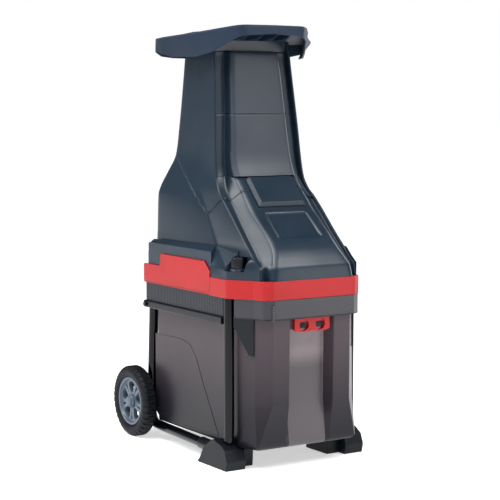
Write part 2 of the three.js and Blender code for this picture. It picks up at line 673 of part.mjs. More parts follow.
const switchEar = join(
  block(46, 50.4, 30.8, 35.2, 0.4, 4.2),
  rod(2.8, 46, 50.4, 16, [0, pinUp, pinOff], 'x'),
);
const buttonSpace = [-19, 19].map((x) => rod(10.4, -14, 12, 20, [x, -4, 0], 'z'));
const switchBase = cut(
  join(
    block(-45.6, 45.6, -27.6, 23.6, -14, 1),
    block(-50.4, 50.4, -32, 33, 0.4, 2.4),
    switchEar,
    mirrored(switchEar),
  ),
  rod(1.7, -70, 70, 12, [0, pinUp, pinOff], 'x'),
  ...buttonSpace.map((space) => cut(space, block(-40, 40, -40, 40, -14.5, -9))),
);
part('switch_base', onSlope(switchBase), 'black');
part('switch_cover_pin', onSlope(rod(1.5, -57, 57, 12, [0, pinUp, pinOff], 'x')), 'steel');
const button = (x) => turned([[10, -5], [10, 4.6], [9, 5.6]], 20, [x, -4, 0], 'z');
part('start_button', onSlope(button(-19)), 'green');
part('stop_button', onSlope(button(19)), 'red');

const slopePanel = prism([[-52, -8.5], [52, -8.5], [50, 62], [-50, 62]], -5.5, [-3.6, -3.6, -0.8, -0.8]);
part('slope_panel', onFrontSlope(slopePanel), 'body');

// ---------------------------------------------------------------- power inlet
const inletShroud = cut(
  join(
    rod(21, 372, 388, 24, inletCentre, 'y'),
    turned([[25, 385], [25, 390], [23, 398]], 24, inletCentre, 'y'),
  ),
  rod(18.5, 376, 400, 24, inletCentre, 'y'),
);
part('power_inlet', inletShroud, 'black');
const inletPin = (dx, dz) => rod(2.4, 376.3, 392, 8, [inletX + dx, 0, 505 + dz], 'y');
part('inlet_pin_live', inletPin(-7, -3), 'steel');
part('inlet_pin_neutral', inletPin(7, -3), 'steel');
part('inlet_pin_earth', inletPin(0, 8), 'steel');

// ---------------------------------------------------------------- locking knob
const knob = join(
  turned([[11, 424.4], [12.5, 426], [12.5, 444], [11, 446]], 20, knobCentre, 'z'),
  rod(4, 412, 425, 16, knobCentre, 'z'),
);
part('locking_knob', knob, 'black');

// ---------------------------------------------------------------- motor and cutting unit
const motorCentre = [0, DISC_Y, 0];
const stator = cut(
  rod(MOTOR_RADIUS, DECK_Z + GAP, 515, 28, motorCentre, 'z'),
  rod(SHAFT_RADIUS + 0.3, 400, 600, 16, motorCentre, 'z'),
);
part('motor_stator', stator, 'iron');
const endCap = cut(
  turned([[MOTOR_RADIUS, 515.3], [MOTOR_RADIUS, 522], [40, 532]], 28, motorCentre, 'z'),
  rod(SHAFT_RADIUS + 0.3, 500, 526, 16, motorCentre, 'z'),
);
part('motor_end_cap', endCap, 'iron');
part('motor_shaft', rod(SHAFT_RADIUS, DISC_TOP_Z + GAP, 525, 16, motorCentre, 'z'), 'steel');
part('run_capacitor', rod(20, DECK_Z + GAP, 512, 20, [-88, 196, 0], 'z'), 'black');
part('safety_switch', block(-104, -84, 30, 56, DECK_Z + GAP, 466), 'black');

const discSlot = [0, 180].map((angle) => {
  const slot = block(40, 102, -9, 9, 400, 430);
  slot.rotateZ((angle * Math.PI) / 180);
  return slot.translate(0, DISC_Y, 0);
});
const disc = cut(rod(DISC_RADIUS, DISC_TOP_Z - 6, DISC_TOP_Z, 40, motorCentre, 'z'), ...discSlot);
part('knife_disc', disc, 'steel');
[0, 180].forEach((angle, i) => {
  const knife = prism([[36, -36], [106, -36], [106, -11], [36, -11]], DISC_TOP_Z + GAP, [
    DISC_TOP_Z + 2.8, DISC_TOP_Z + 2.8, DISC_TOP_Z + 1.2, DISC_TOP_Z + 1.2]);
  knife.rotateZ((angle * Math.PI) / 180);
  part(`knife_${i + 1}`, knife.translate(0, DISC_Y, 0), 'steel');
});
part('disc_bolt', turned([[12, 398], [14, 399], [14, 411.7]], 12, motorCentre, 'z'), 'steel');
const ringTop = DECK_Z - 6 - GAP;
const ringProfile = [[124, 404], [127, 404], [127, ringTop], [124, ringTop]];
const chamberRing = turned(ringProfile, 40, motorCentre, 'z', true);
part('chamber_ring', chamberRing, 'iron');
const guide = cut(
  block(-74, 74, 200, 290, 424, ringTop),
  block(-54, 54, 212, 258, 420, 450),
);
part('feed_guide', keep(guide, rod(122, 400, 450, 40, motorCentre, 'z')), 'iron');
part('counter_blade', block(-50, 50, 258.3, 263, 421.6, 423.7), 'steel');

export default chipper;
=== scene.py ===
"""Looks for the garden wood chipper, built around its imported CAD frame."""

import math

import bmesh
import bpy
import numpy as np
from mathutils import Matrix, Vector


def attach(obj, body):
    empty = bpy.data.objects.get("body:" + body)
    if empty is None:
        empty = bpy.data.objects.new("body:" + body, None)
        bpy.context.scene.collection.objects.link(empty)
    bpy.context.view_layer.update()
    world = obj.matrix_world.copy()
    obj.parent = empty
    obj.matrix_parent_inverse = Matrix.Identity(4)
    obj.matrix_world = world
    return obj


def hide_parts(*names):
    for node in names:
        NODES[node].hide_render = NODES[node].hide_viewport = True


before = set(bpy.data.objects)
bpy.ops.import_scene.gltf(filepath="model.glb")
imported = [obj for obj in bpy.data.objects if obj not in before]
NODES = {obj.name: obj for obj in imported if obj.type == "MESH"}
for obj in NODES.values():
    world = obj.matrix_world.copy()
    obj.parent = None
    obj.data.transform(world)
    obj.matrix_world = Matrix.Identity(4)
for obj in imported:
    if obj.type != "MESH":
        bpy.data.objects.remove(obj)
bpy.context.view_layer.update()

# Shapes are drawn in millimetres, with Y measured from the feet's front.
CENTRE_Y = 216
SIDES = (("left", 1), ("right", -1))
# Vertices closer than this, in metres, are joined; the finer one only removes exact doubles.
WELD_DISTANCE, TINY = 2e-5, 1e-6


def row_point(p):
    return (p[0] / 1000, (p[1] - CENTRE_Y) / 1000, p[2] / 1000)


# ---------------------------------------------------------------- materials
# The range that most values of a noise texture fall in.
NOISE_LOW, NOISE_HIGH = 0.3, 0.7
# The numbers of a mix node's colour sockets.
MIX_FACTOR, MIX_A, MIX_B, MIX_RESULT = 0, 6, 7, 2
# Where the normal rounded over this radius (m) leaves the face's own one, the painted edge highlight
# begins to show at the first dot product and shows fully at the second.
EDGE_RADIUS, EDGE_STARTS, EDGE_FULL = 0.0016, 0.98, 0.75


def linear(rgb):
    """An 8-bit display colour as scene-linear RGBA."""
    parts = [c / 255 for c in rgb]
    return [c / 12.92 if c <= 0.04045 else ((c + 0.055) / 1.055) ** 2.4 for c in parts] + [1]


def new_material(name):
    material = bpy.data.materials.new(name)
    material.use_nodes = True
    tree = material.node_tree
    shader = tree.nodes["Principled BSDF"]
    place = tree.nodes.new("ShaderNodeTexCoord").outputs["Object"]
    return material, tree, shader, place


def noise(tree, place, scale, detail, rough):
    node = tree.nodes.new("ShaderNodeTexNoise")
    node.inputs["Scale"].default_value = scale
    node.inputs["Detail"].default_value = detail
    node.inputs["Roughness"].default_value = rough
    tree.links.new(place, node.inputs["Vector"])
    return node.outputs["Fac"]


def stretch(tree, place, factors):
    node = tree.nodes.new("ShaderNodeMapping")
    node.inputs["Scale"].default_value = factors
    tree.links.new(place, node.inputs["Vector"])
    return node.outputs["Vector"]


def ramp(tree, source, stops):
    node = tree.nodes.new("ShaderNodeValToRGB")
    node.color_ramp.elements[0].position, node.color_ramp.elements[0].color = stops[0]
    node.color_ramp.elements[1].position, node.color_ramp.elements[1].color = stops[-1]
    for position, colour in stops[1:-1]:
        node.color_ramp.elements.new(position).color = colour
    tree.links.new(source, node.inputs["Fac"])
    return node.outputs["Color"]


def map_range(tree, source, start, end, low, high, kind="LINEAR"):
    """Goes from low to high while the source goes from start to end."""
    node = tree.nodes.new("ShaderNodeMapRange")
    node.interpolation_type = kind
    for socket, value in (("From Min", start), ("From Max", end), ("To Min", low), ("To Max", high)):
        node.inputs[socket].default_value = value
    tree.links.new(source, node.inputs["Value"])
    return node.outputs["Result"]


def spread(tree, source, low, high):
    """A noise's values, spread from low to high."""
    return map_range(tree, source, NOISE_LOW, NOISE_HIGH, low, high)


def mixed(tree, factor, a, b):
    node = tree.nodes.new("ShaderNodeMix")
    node.data_type = "RGBA"
    for number, value in ((MIX_FACTOR, factor), (MIX_A, a), (MIX_B, b)):
        if hasattr(value, "is_output"):
            tree.links.new(value, node.inputs[number])
        else:
            node.inputs[number].default_value = value
    return node.outputs[MIX_RESULT]


def bump(tree, height, distance, strength, before=None):
    node = tree.nodes.new("ShaderNodeBump")
    node.inputs["Distance"].default_value = distance
    node.inputs["Strength"].default_value = strength
    tree.links.new(height, node.inputs["Height"])
    if before is not None:
        tree.links.new(before, node.inputs["Normal"])
    return node.outputs["Normal"]


def edge_mask(tree):
    """One along rounded edges and zero on flat faces."""
    soft = tree.nodes.new("ShaderNodeBevel")
    soft.samples = 4
    soft.inputs["Radius"].default_value = EDGE_RADIUS
    true = tree.nodes.new("ShaderNodeNewGeometry")
    dot = tree.nodes.new("ShaderNodeVectorMath")
    dot.operation = "DOT_PRODUCT"
    tree.links.new(soft.outputs["Normal"], dot.inputs[0])
    tree.links.new(true.outputs["Normal"], dot.inputs[1])
    return map_range(tree, dot.outputs["Value"], EDGE_STARTS, EDGE_FULL, 0, 1)


def edge_highlighted(tree, place, colour, edge):
    """Painted highlight: the colour with its rounded edges turned lighter, to another one, in patches.
    """
    highlight = mixed(tree, edge_mask(tree), colour, linear(edge))
    patch = spread(tree, noise(tree, place, 60, 4, 0.6), 0.15, 0.75)
    return mixed(tree, patch, colour, highlight)


def shaded_downwards(tree, place, colour, low, high, shade):
    """Painted shade: the colour above the high level (m), darkening to the shade at the low one."""
    height = tree.nodes.new("ShaderNodeSeparateXYZ")
    tree.links.new(place, height.inputs["Vector"])
    share = map_range(tree, height.outputs["Z"], low, high, 1, 0, "SMOOTHSTEP")
    return mixed(tree, share, colour, linear(shade))


def plastic(name, deep, light, rough, grain, specular, streak=None, edge=None, painted_shade=None):
    """A moulded plastic with clouded tone, smears, fine grain and slightly wavy faces; optionally a
    painted highlight along its edges and painted shade towards the bottom.
    """
    material, tree, shader, place = new_material(name)
    base = stretch(tree, place, streak) if streak else place
    cloud = noise(tree, base, 9, 5, 0.55)
    colour = ramp(tree, cloud, [(0.32, linear(deep)), (0.68, linear(light))])
    # An edge colour paints a highlight along the rounded edges.
    if edge:
        colour = edge_highlighted(tree, place, colour, edge)
    if painted_shade:
        colour = shaded_downwards(tree, place, colour, *painted_shade)
    tree.links.new(colour, shader.inputs["Base Color"])
    smear = noise(tree, place, 24, 4, 0.6)
    tree.links.new(spread(tree, smear, rough - 0.02, rough + 0.03), shader.inputs["Roughness"])
    fine = bump(tree, noise(tree, place, 900, 2, 0.6), 0.00006, grain)
    wave = bump(tree, noise(tree, place, 14, 2, 0.4), 0.0012, 0.02, fine)
    tree.links.new(wave, shader.inputs["Normal"])
    shader.inputs["Specular IOR Level"].default_value = specular
    return material


def metal(name, deep, light, rough, brushed=(1, 1, 30)):
    """Steel with fine machining lines and slight staining."""
    material, tree, shader, place = new_material(name)
    lines = noise(tree, stretch(tree, place, brushed), 90, 4, 0.6)
    stain = noise(tree, place, 35, 4, 0.6)
    tone = ramp(tree, stain, [(0.3, linear(deep)), (0.7, linear(light))])
    tree.links.new(tone, shader.inputs["Base Color"])
    tree.links.new(spread(tree, lines, rough - 0.07, rough + 0.1), shader.inputs["Roughness"])
    tree.links.new(bump(tree, lines, 0.0001, 0.4), shader.inputs["Normal"])
    shader.inputs["Metallic"].default_value = 1
    return material


# Darkest and lightest tone, roughness; for plastics also the grain's strength and the specular
# level, then the clouds' stretch. An edge colour is a painted highlight. A painted shade is its
# low and high level in metres and its shade, darkening the plastic towards the bottom.
STREAKED = (1, 1, 0.4)
MATERIALS = {
    "body": plastic("body_plastic", (23, 36, 48), (27, 41, 54), 0.3, 0.4, 0.38),
    "hood": plastic("hood_plastic", (25, 38, 54), (29, 44, 61), 0.46, 0.4, 0.22),
    # The panel's grey is partly its own tone and partly a painted sheen of reflected front light.
    "panel": plastic("panel_plastic_and_painted_sheen", (44, 51, 60), (50, 57, 66), 0.4, 0.5, 0.42, edge=(72, 80, 89)),
    "red": plastic("red_plastic", (160, 25, 27), (170, 29, 31), 0.36, 0.25, 0.28, edge=(208, 80, 78)),
    # The box's painted shade darkens it towards the floor, where less light falls.
    "box": plastic("smoked_box", (70, 61, 66), (76, 66, 71), 0.3, 0.03, 0.2, STREAKED,
                   painted_shade=(0.04, 0.34, (20, 20, 27))),
    # A lighter copy of the box plastic: painted light shining through the smoked wall into the front
    # recess, with painted shade lower down.
    "box_recess_painted_light": plastic("smoked_box_recess_painted_light", (117, 106, 108), (124, 113, 115), 0.3, 0.03, 0.4,
                          STREAKED, painted_shade=(0.205, 0.25, (74, 68, 71))),
    "collar": plastic("smoked_collar", (38, 38, 45), (44, 43, 50), 0.28, 0.05, 0.5, (1, 1, 0.5)),
    "skirt": plastic("skirt_plastic", (22, 25, 33), (28, 31, 39), 0.36, 0.2, 0.3, edge=(62, 66, 76)),
    "black": plastic("black_plastic", (9, 12, 18), (12, 16, 23), 0.34, 0.4, 0.28, edge=(52, 60, 70)),
    "tube": plastic("enamelled_tube", (2, 3, 6), (4, 5, 9), 0.1, 0.02, 0.22, edge=(10, 13, 18)),
    "foot": plastic("foot_plastic", (9, 12, 18), (13, 17, 24), 0.42, 0.5, 0.2, edge=(46, 52, 62)),
    "tyre": plastic("tyre_rubber", (9, 12, 17), (14, 18, 24), 0.55, 0.6, 0.2, edge=(54, 60, 70)),
    "rim": plastic("rim_plastic", (76, 88, 101), (84, 96, 109), 0.34, 0.3, 0.4, edge=(130, 141, 154)),
    "steel": metal("turned_steel", (132, 135, 138), (176, 178, 180), 0.3),
    "iron": metal("cast_iron", (58, 60, 62), (84, 86, 88), 0.55, (1, 1, 1)),
    "green": plastic("green_plastic", (28, 108, 50), (36, 130, 60), 0.35, 0.2, 0.45,
                     edge=(110, 180, 120)),
}

# ---------------------------------------------------------------- curve helpers
# A rounded corner takes no more than this share of a side.
CORNER_SHARE = 0.47


def fillet(points, radius, steps=4, closed=True):
    """Points of a polyline whose corners are rounded; radius is one number or one per corner."""
    pts = [np.array(p, float) for p in points]
    count = len(pts)
    out = []
    for i, p in enumerate(pts):
        r = radius[i] if isinstance(radius, (list, tuple)) else radius
        if r <= 0 or (not closed and i in (0, count - 1)):
            out.append(p)
            continue
        a, b = pts[i - 1] - p, pts[(i + 1) % count] - p
        la, lb = np.linalg.norm(a), np.linalg.norm(b)
        cosine = float(np.clip(a @ b / (la * lb), -1, 1))
        half = math.acos(cosine) / 2
        reach = min(r / max(math.tan(half), 1e-3), CORNER_SHARE * la, CORNER_SHARE * lb)
        start, end = p + a / la * reach, p + b / lb * reach
        for k in range(steps + 1):
            t = k / steps
            out.append((1 - t) ** 2 * start + 2 * t * (1 - t) * p + t * t * end)
    return out


def symmetric(half):
    """A half outline from the front centre to the rear centre, mirrored about X = 0."""
    return list(half) + [(-p[0], *p[1:]) for p in half[-2:0:-1]]


def smooth_curve(xs, ys):
    """A function through the points that never overshoots them."""
    xs, ys = np.array(xs, float), np.array(ys, float)
    h = np.diff(xs)
    d = np.diff(ys) / h
    m = np.zeros(len(xs))
    m[0], m[-1] = d[0], d[-1]
    for i in range(1, len(xs) - 1):
        if d[i - 1] * d[i] > 0:
            w1, w2 = 2 * h[i] + h[i - 1], h[i] + 2 * h[i - 1]
            m[i] = (w1 + w2) / (w1 / d[i - 1] + w2 / d[i])

    def value(x):
        x = min(max(x, xs[0]), xs[-1])
        i = min(int(np.searchsorted(xs, x, "right")) - 1, len(h) - 1)
        t = (x - xs[i]) / h[i]
        return (
            (1 + 2 * t) * (1 - t) ** 2 * ys[i]
            + t * (1 - t) ** 2 * h[i] * m[i]
            + t * t * (3 - 2 * t) * ys[i + 1]
            + t * t * (t - 1) * h[i] * m[i + 1]
        )

    return value


def curves(rows):
    """Smooth curves over a table's first column, one for each of its other columns."""
    heights, *columns = zip(*rows)
    return [smooth_curve(heights, column) for column in columns]


def circle(x, y, radius, steps=32):
    angles = [2 * math.pi * k / steps for k in range(steps)]
    return [(x + radius * math.cos(a), y + radius * math.sin(a)) for a in angles]


# ---------------------------------------------------------------- mesh helpers
FACE_WEIGHT = 60


def settle(obj, bevel=0.0, segments=2, angle=32, shell=0.0, rim=True):
    """Adds wall thickness, rounded edges and clean shading, as modifiers."""
    obj.data.polygons.foreach_set("use_smooth", [True] * len(obj.data.polygons))
    if shell:
        wall = obj.modifiers.new("wall", "SOLIDIFY")
        wall.thickness = shell / 1000
        wall.offset = -1
        wall.use_rim = rim
    if bevel:
        rounding = obj.modifiers.new("rounding", "BEVEL")
        rounding.width = bevel / 1000
        rounding.segments = segments
        rounding.limit_method = "ANGLE"
        rounding.angle_limit = math.radians(angle)
        rounding.miter_outer = "MITER_ARC"
    if bevel or shell:
        weighted = obj.modifiers.new("weighted", "WEIGHTED_NORMAL")
        weighted.keep_sharp = True
        weighted.weight = FACE_WEIGHT
    else:
        obj.data.set_sharp_from_angle(angle=math.radians(angle))


def make(name, points, faces, material, body, replaces=(), flip=False, **finish):
    """A new piece from points in millimetres; flip mirrors it about X = 0."""
    sign = -1 if flip else 1
    mesh = bpy.data.meshes.new(name)
    mesh.from_pydata([row_point((sign * p[0], p[1], p[2])) for p in points], [], faces)
    bm = bmesh.new()
    bm.from_mesh(mesh)
    bmesh.ops.remove_doubles(bm, verts=bm.verts, dist=WELD_DISTANCE)
    bmesh.ops.dissolve_degenerate(bm, dist=TINY, edges=bm.edges)
    bmesh.ops.recalc_face_normals(bm, faces=bm.faces)
    bm.to_mesh(mesh)
    bm.free()
    obj = bpy.data.objects.new(name, mesh)
    bpy.context.scene.collection.objects.link(obj)
    mesh.materials.append(MATERIALS[material])
    settle(obj, **finish)
    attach(obj, body)
    if replaces:
        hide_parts(*([replaces] if isinstance(replaces, str) else replaces))
    return obj


def bands(rings, loop=False, wrap=True):
    """Faces between equal-length rings."""
    count = len(rings[0])
    faces = []
    for r in range(len(rings) if loop else len(rings) - 1):
        low, high = r * count, (r + 1) % len(rings) * count
        for i in range(count if wrap else count - 1):
            j = (i + 1) % count
            faces.append((low + i, low + j, high + j, high + i))
    return faces


def loft(name, rings, material, body, replaces=(), caps=(True, True), loop=False, wrap=True, **more):
    """A skin over rings of points; caps close its first and its last ring."""
    points = [tuple(p) for ring in rings for p in ring]
    faces = bands(rings, loop, wrap)
    count = len(rings[0])
    if caps[0] and not loop:
        faces.append(tuple(range(count)))
    if caps[1] and not loop:
        faces.append(tuple(range(len(points) - count, len(points))))
    return make(name, points, faces, material, body, replaces, **more)


def turned(name, profile, steps, centre, material, body, replaces=(), loop=False, **more):
    """A body of revolution about X; profile holds (radius, distance along X)."""
    rings = []
    for radius, along in profile:
        ring = []
        for k in range(steps):
            angle = 2 * math.pi * k / steps
            ring.append((centre[0] + along, centre[1] + radius * math.cos(angle),
                         centre[2] + radius * math.sin(angle)))
        rings.append(ring)
    return loft(name, rings, material, body, replaces, loop=loop, **more)


def plate(name, outlines, low, high, axis, material, body, replaces=(), bevel=0.8, flip=False,
          segments=2):
    """A flat plate with rounded edges between two planes across an axis. Later outlines are holes."""
    curve = bpy.data.curves.new(name, "CURVE")
    curve.dimensions = "2D"
    curve.fill_mode = "BOTH"
    for outline in outlines:
        spline = curve.splines.new("POLY")
        spline.points.add(len(outline) - 1)
        for point, (a, b) in zip(spline.points, outline):
            point.co = (a / 1000, b / 1000, 0, 1)
        spline.use_cyclic_u = True
    curve.extrude = (high - low) / 2000
    source = bpy.data.objects.new(name + ".outline", curve)
    bpy.context.scene.collection.objects.link(source)
    bpy.context.view_layer.update()
    flat = bpy.data.meshes.new_from_object(source.evaluated_get(bpy.context.evaluated_depsgraph_get()))
    bm = bmesh.new()
    bm.from_mesh(flat)
    bmesh.ops.remove_doubles(bm, verts=bm.verts, dist=TINY)
    bmesh.ops.dissolve_limit(bm, angle_limit=math.radians(0.5), verts=bm.verts, edges=bm.edges)
    middle = (low + high) / 2
    h, u, v = {"x": (0, 1, 2), "y": (1, 0, 2), "z": (2, 0, 1)}[axis]
    points = []
    bm.verts.ensure_lookup_table()
    for vertex in bm.verts:
        p = [0, 0, 0]
        p[u], p[v], p[h] = vertex.co.x * 1000, vertex.co.y * 1000, vertex.co.z * 1000 + middle
        points.append(p)
    faces = [tuple(x.index for x in face.verts) for face in bm.faces]
    bm.free()
    bpy.data.objects.remove(source)
    bpy.data.meshes.remove(flat)
    return make(name, points, faces, material, body, replaces, flip, bevel=bevel, segments=segments,
                angle=40)


def tube(name, path, radius, sides, material, body, replaces=(), **more):
    """A round bar along a path, whose rings don't twist."""
    pts = [np.array(p, float) for p in path]
    side = np.array([1.0, 0, 0])
    rings = []
    for i, p in enumerate(pts):
        along = pts[min(i + 1, len(pts) - 1)] - pts[max(i - 1, 0)]
        along /= np.linalg.norm(along)
        side = side - along * (side @ along)
        side /= np.linalg.norm(side)
        up = np.cross(along, side)
        ring = []
        for k in range(sides):
            a = 2 * math.pi * k / sides
            ring.append(p + radius * (math.cos(a) * side + math.sin(a) * up))
        rings.append(ring)
    return loft(name, rings, material, body, replaces, **more)


def block(x0, x1, y0, y1):
    return [(x0, y0), (x1, y0), (x1, y1), (x0, y1)]


# ---------------------------------------------------------------- upper housing and hopper
# Height, front edge x and y, groove depth, hump half-width at its face and at its root.
FRONT = [
    (400.3, 122, -50, 10, 103, 106), (425, 122, -44, 10, 98, 105), (440, 121.8, -26, 10, 90, 104),
    (460, 121.3, -5, 10, 82, 103), (480, 120.6, 17, 10, 79, 102), (540, 120, 80, 10, 78, 98),
    (560, 119.2, 102, 10, 78, 96), (580, 116.6, 124.4, 10, 78, 92), (607.3, 114, 139, 12, 79, 86),
    (650, 111.7, 146.5, 14, 74, 77), (700, 109.1, 152, 14, 72, 75), (862, 99.3, 171.5, 14, 62, 65),
    (899.7, 97.5, 176, 8, 60, 63),
]
# Height and front face of the hump.
HUMP = [(400.3, -68), (425, -64), (440, -56), (460, -42), (480, -22.5), (540, 50.7), (560, 70.3),
        (580, 89.9), (607.3, 116.7)]
# Height, widest point x and y, rear corner x and y, rear face y.
SIDE = [
    (447.3, 145.8, 84, 137, 366, 383), (460, 145, 86, 136.5, 366, 383), (480, 142.5, 100, 136, 365, 383),
    (540, 134, 150, 135.5, 363, 382), (560, 130, 168, 135, 362, 380), (580, 125, 190, 131, 357, 376),
    (607.3, 119, 210, 123, 342, 366), (650, 112.5, 226, 111, 320, 350),
    (700, 108.8, 232, 106.8, 314, 344), (862, 99, 237, 97, 302, 332),
    (899.7, 97, 238, 95.5, 299, 328),
]
FRONT_AT = curves(FRONT)
(HUMP_AT,) = curves(HUMP)
SIDE_AT = curves(SIDE)
HUMP_TOP, HUMP_ROUND, HUMP_CROWN = 607.3, 7, 1.5
SHELL_LOW, DECK_TOP, SHELL_HIGH = 400.3, 447.3, 899.7
WALL = 3


def hump_face(z):
    over = max(0.0, z - (HUMP_TOP - HUMP_ROUND))
    return HUMP_AT(z) + HUMP_ROUND - math.sqrt(max(0.0, HUMP_ROUND * HUMP_ROUND - over * over))


def resampled(points, parts):
    """Straight segments split into a set number of parts."""
    out = [points[0]]
    for a, b, n in zip(points, points[1:], parts):
        for k in range(1, n + 1):
            out.append(a + (b - a) * k / n)
    return out


# The sunken panel's window in the slope: its levels, half-width at the lower one, how much
# narrower it is at the upper one, depth, the width of its wall, and the slope's direction.
WINDOW_LOW, WINDOW_HIGH, WINDOW_HALF, WINDOW_TAPER = 485.4, 530.5, 52.3, 2
WINDOW_SINK, WINDOW_WALL, WINDOW_COLUMNS = 6.5, 0.25, 4
SLOPE = (0.773, 0.634)
# From the front edge to the bead's root and to its top, and how far the edge lies back.
BEAD_ROOT, BEAD_TOP, BEAD_DROP = 7, 5, 1
REAR_CHAMFER, REAR_CROWN = 24, 2
# A radius for each corner of the shell's outline, and the parts of each straight run between
# them; the apron has the front's corners and runs only.
SHELL_RADII = [0, 0, 0, 16, 7, 2.4, 1.1, 1.7, 46, 34, 20, 0]
SHELL_RUNS = [2, 3, 2, 2, 2, 14, 16, 4]
FRONT_CORNERS, FRONT_RUNS, CORNER_STEPS = 8, 5, 4


def window_half_width(z):
    share = min(max((z - WINDOW_LOW) / (WINDOW_HIGH - WINDOW_LOW), 0), 1)
    return WINDOW_HALF - WINDOW_TAPER * share


def front_line(z, above):
    """Half of the front, from the centre to the bead's outer corner."""
    xf, yf, groove, xt, xb = (f(z) for f in FRONT_AT)
    floor = yf + groove
    face = floor if above else hump_face(z)
    rise = 0 if above else HUMP_CROWN
    w = window_half_width(z)
    crowned = face + rise * w / xt
    return [(0, face), (w, crowned), (w + WINDOW_WALL, crowned), (xt, face + rise), (xb, floor),
            (xf - BEAD_ROOT, floor), (xf - BEAD_TOP, yf), (xf, yf + BEAD_DROP)]


def split_parts(runs, last):
    """How many parts each segment gets: the window's two, each run and its corner, the last ones."""
    parts = [WINDOW_COLUMNS, 1]
    for n in runs:
        parts += [n] + [1] * CORNER_STEPS
    return parts + last


def shell_line(z, above):
    """Half of the shell's outline at one height, from the front centre to the rear centre."""
    xm, ym, xr, yr, yb = (f(z) for f in SIDE_AT)
    rear = [(xm, ym), (xr, yr), (xr - REAR_CHAMFER, yb), (0, yb + REAR_CROWN)]
    line = fillet(front_line(z, above) + rear, SHELL_RADII, CORNER_STEPS, False)
    return resampled(line, split_parts(SHELL_RUNS, [8]))


# The joint between hopper and housing as (y, z) from the side: a falling front arm, a soft tip,
# and a rising rear arm that bends once. Its lip is a share of the gap on, and inwards.
SEAM_START, SEAM_TIP, SEAM_BEND = (-150, 845), (140, 523), (320, 649)
SEAM_RISE, SEAM_REAR_RISE, TIP_LIFT, TIP_WIDTH = 0.7, 0.51, 3.5, 16
SEAM_GAP, LIP_SHARE, LIP_DEPTH = 0.5, 0.4, 1.1


def seam_height(y):
    drop, run = SEAM_START[1] - SEAM_TIP[1], SEAM_TIP[0] - SEAM_START[0]
    falling = SEAM_START[1] - (y - SEAM_START[0]) * drop / run
    rising = SEAM_TIP[1] + (y - SEAM_TIP[0]) * SEAM_RISE
    if y > SEAM_BEND[0]:
        rising = SEAM_BEND[1] + (y - SEAM_BEND[0]) * SEAM_REAR_RISE
    return max(falling, rising) + TIP_LIFT * math.exp(-(((y - SEAM_TIP[0]) / TIP_WIDTH) ** 2))


def levels(low, high, step):
    count = max(1, round((high - low) / step))
    return [low + (high - low) * k / count for k in range(count + 1)]


# The rows of the shell's grid. One lies just below and one just above each end of the window,
# and they are wider apart on the column.
EDGE, ROW_STEP, COLUMN_FROM, COLUMN_STEP = 0.15, 5, 680, 9
LOW_ROWS = (
    levels(DECK_TOP, WINDOW_LOW - EDGE, ROW_STEP)
    + levels(WINDOW_LOW + EDGE, WINDOW_HIGH - EDGE, ROW_STEP)
    + levels(WINDOW_HIGH + EDGE, HUMP_TOP - HUMP_ROUND, ROW_STEP)
    + levels(HUMP_TOP - HUMP_ROUND, HUMP_TOP, 1)[1:]
)
HIGH_ROWS = (
    [HUMP_TOP + 0.01]
    + levels(HUMP_TOP + 0.3, COLUMN_FROM, ROW_STEP)
    + levels(COLUMN_FROM, SHELL_HIGH, COLUMN_STEP)[1:]
)
ROWS = [(z, False) for z in LOW_ROWS] + [(z, True) for z in HIGH_ROWS]
GRID = [[(p[0], p[1], z) for p in shell_line(z, above)] for z, above in ROWS]
COLUMNS = len(GRID[0])
for ring in GRID:
    if WINDOW_LOW < ring[0][2] < WINDOW_HIGH:
        for c in range(WINDOW_COLUMNS + 1):
            x, y, z = ring[c]
            ring[c] = (x, y + WINDOW_SINK * SLOPE[1], z - WINDOW_SINK * SLOPE[0])


def seam_of(column):
    """Where a column of the grid crosses the seam: the row below and the point."""
    for r in range(len(ROWS) - 1):
        a, b = (np.array(GRID[k][column], float) for k in (r, r + 1))
        fa, fb = a[2] - seam_height(a[1]), b[2] - seam_height(b[1])
        if fa <= 0 < fb:
            return r, a + (b - a) * (fa / (fa - fb))
    return len(ROWS) - 1, np.array(GRID[-1][column], float)


SEAMS = [seam_of(c) for c in range(COLUMNS)]


def inward(point, distance):
    """Moves a point of the shell towards the column's middle line."""
    to_middle = np.array([0, 250, point[2]], float) - point
    return point + to_middle / np.linalg.norm(to_middle) * distance


def shell_part(upper):
    """The shell on one side of the seam, as rings; points beyond the seam gather in its lip."""
    half = []
    for c in range(COLUMNS):
        row, seam = SEAMS[c]
        gap = np.array([0, 0, SEAM_GAP if upper else -SEAM_GAP])
        lip = inward(seam + gap * LIP_SHARE, LIP_DEPTH)
        column = []
        for r in range(len(ROWS)):
            inside = r > row if upper else r <= row
            column.append(np.array(GRID[r][c], float) if inside else lip)
        border = row if upper else row + 1
        if border < len(column):
            column[border] = seam + gap
        half.append(column)
    rings = []
    for r in range(len(ROWS)):
        right = [half[c][r] for c in range(COLUMNS)]
        rings.append(right + [p * np.array([-1, 1, 1]) for p in right[-2:0:-1]])
    return rings


OPEN = (False, False)
for name, node, upper in (("hopper_shell", "hopper", True), ("housing_shell", "upper_housing", False)):
    loft(name, shell_part(upper), "body", "upper_unit", node, OPEN, shell=WALL, rim=False)


def apron_line(z):
    """The housing's front below the deck's top, which reaches down inside the red band."""
    corners = front_line(z, False) + [(122.5, min(-8, FRONT_AT[1](z) + 13)), (122.7, -0.2)]
    line = fillet(corners, SHELL_RADII[:FRONT_CORNERS] + [0, 0], CORNER_STEPS, False)
    parts = split_parts(SHELL_RUNS[:FRONT_RUNS], [3, 3])
    half = [(p[0], p[1], z) for p in resampled(line, parts)]
    return [(-p[0], p[1], p[2]) for p in half[:0:-1]] + half


loft("housing_apron", [apron_line(z) for z in levels(SHELL_LOW, DECK_TOP, 3)], "body", "upper_unit",
     (), OPEN, wrap=False, shell=WALL, rim=False)

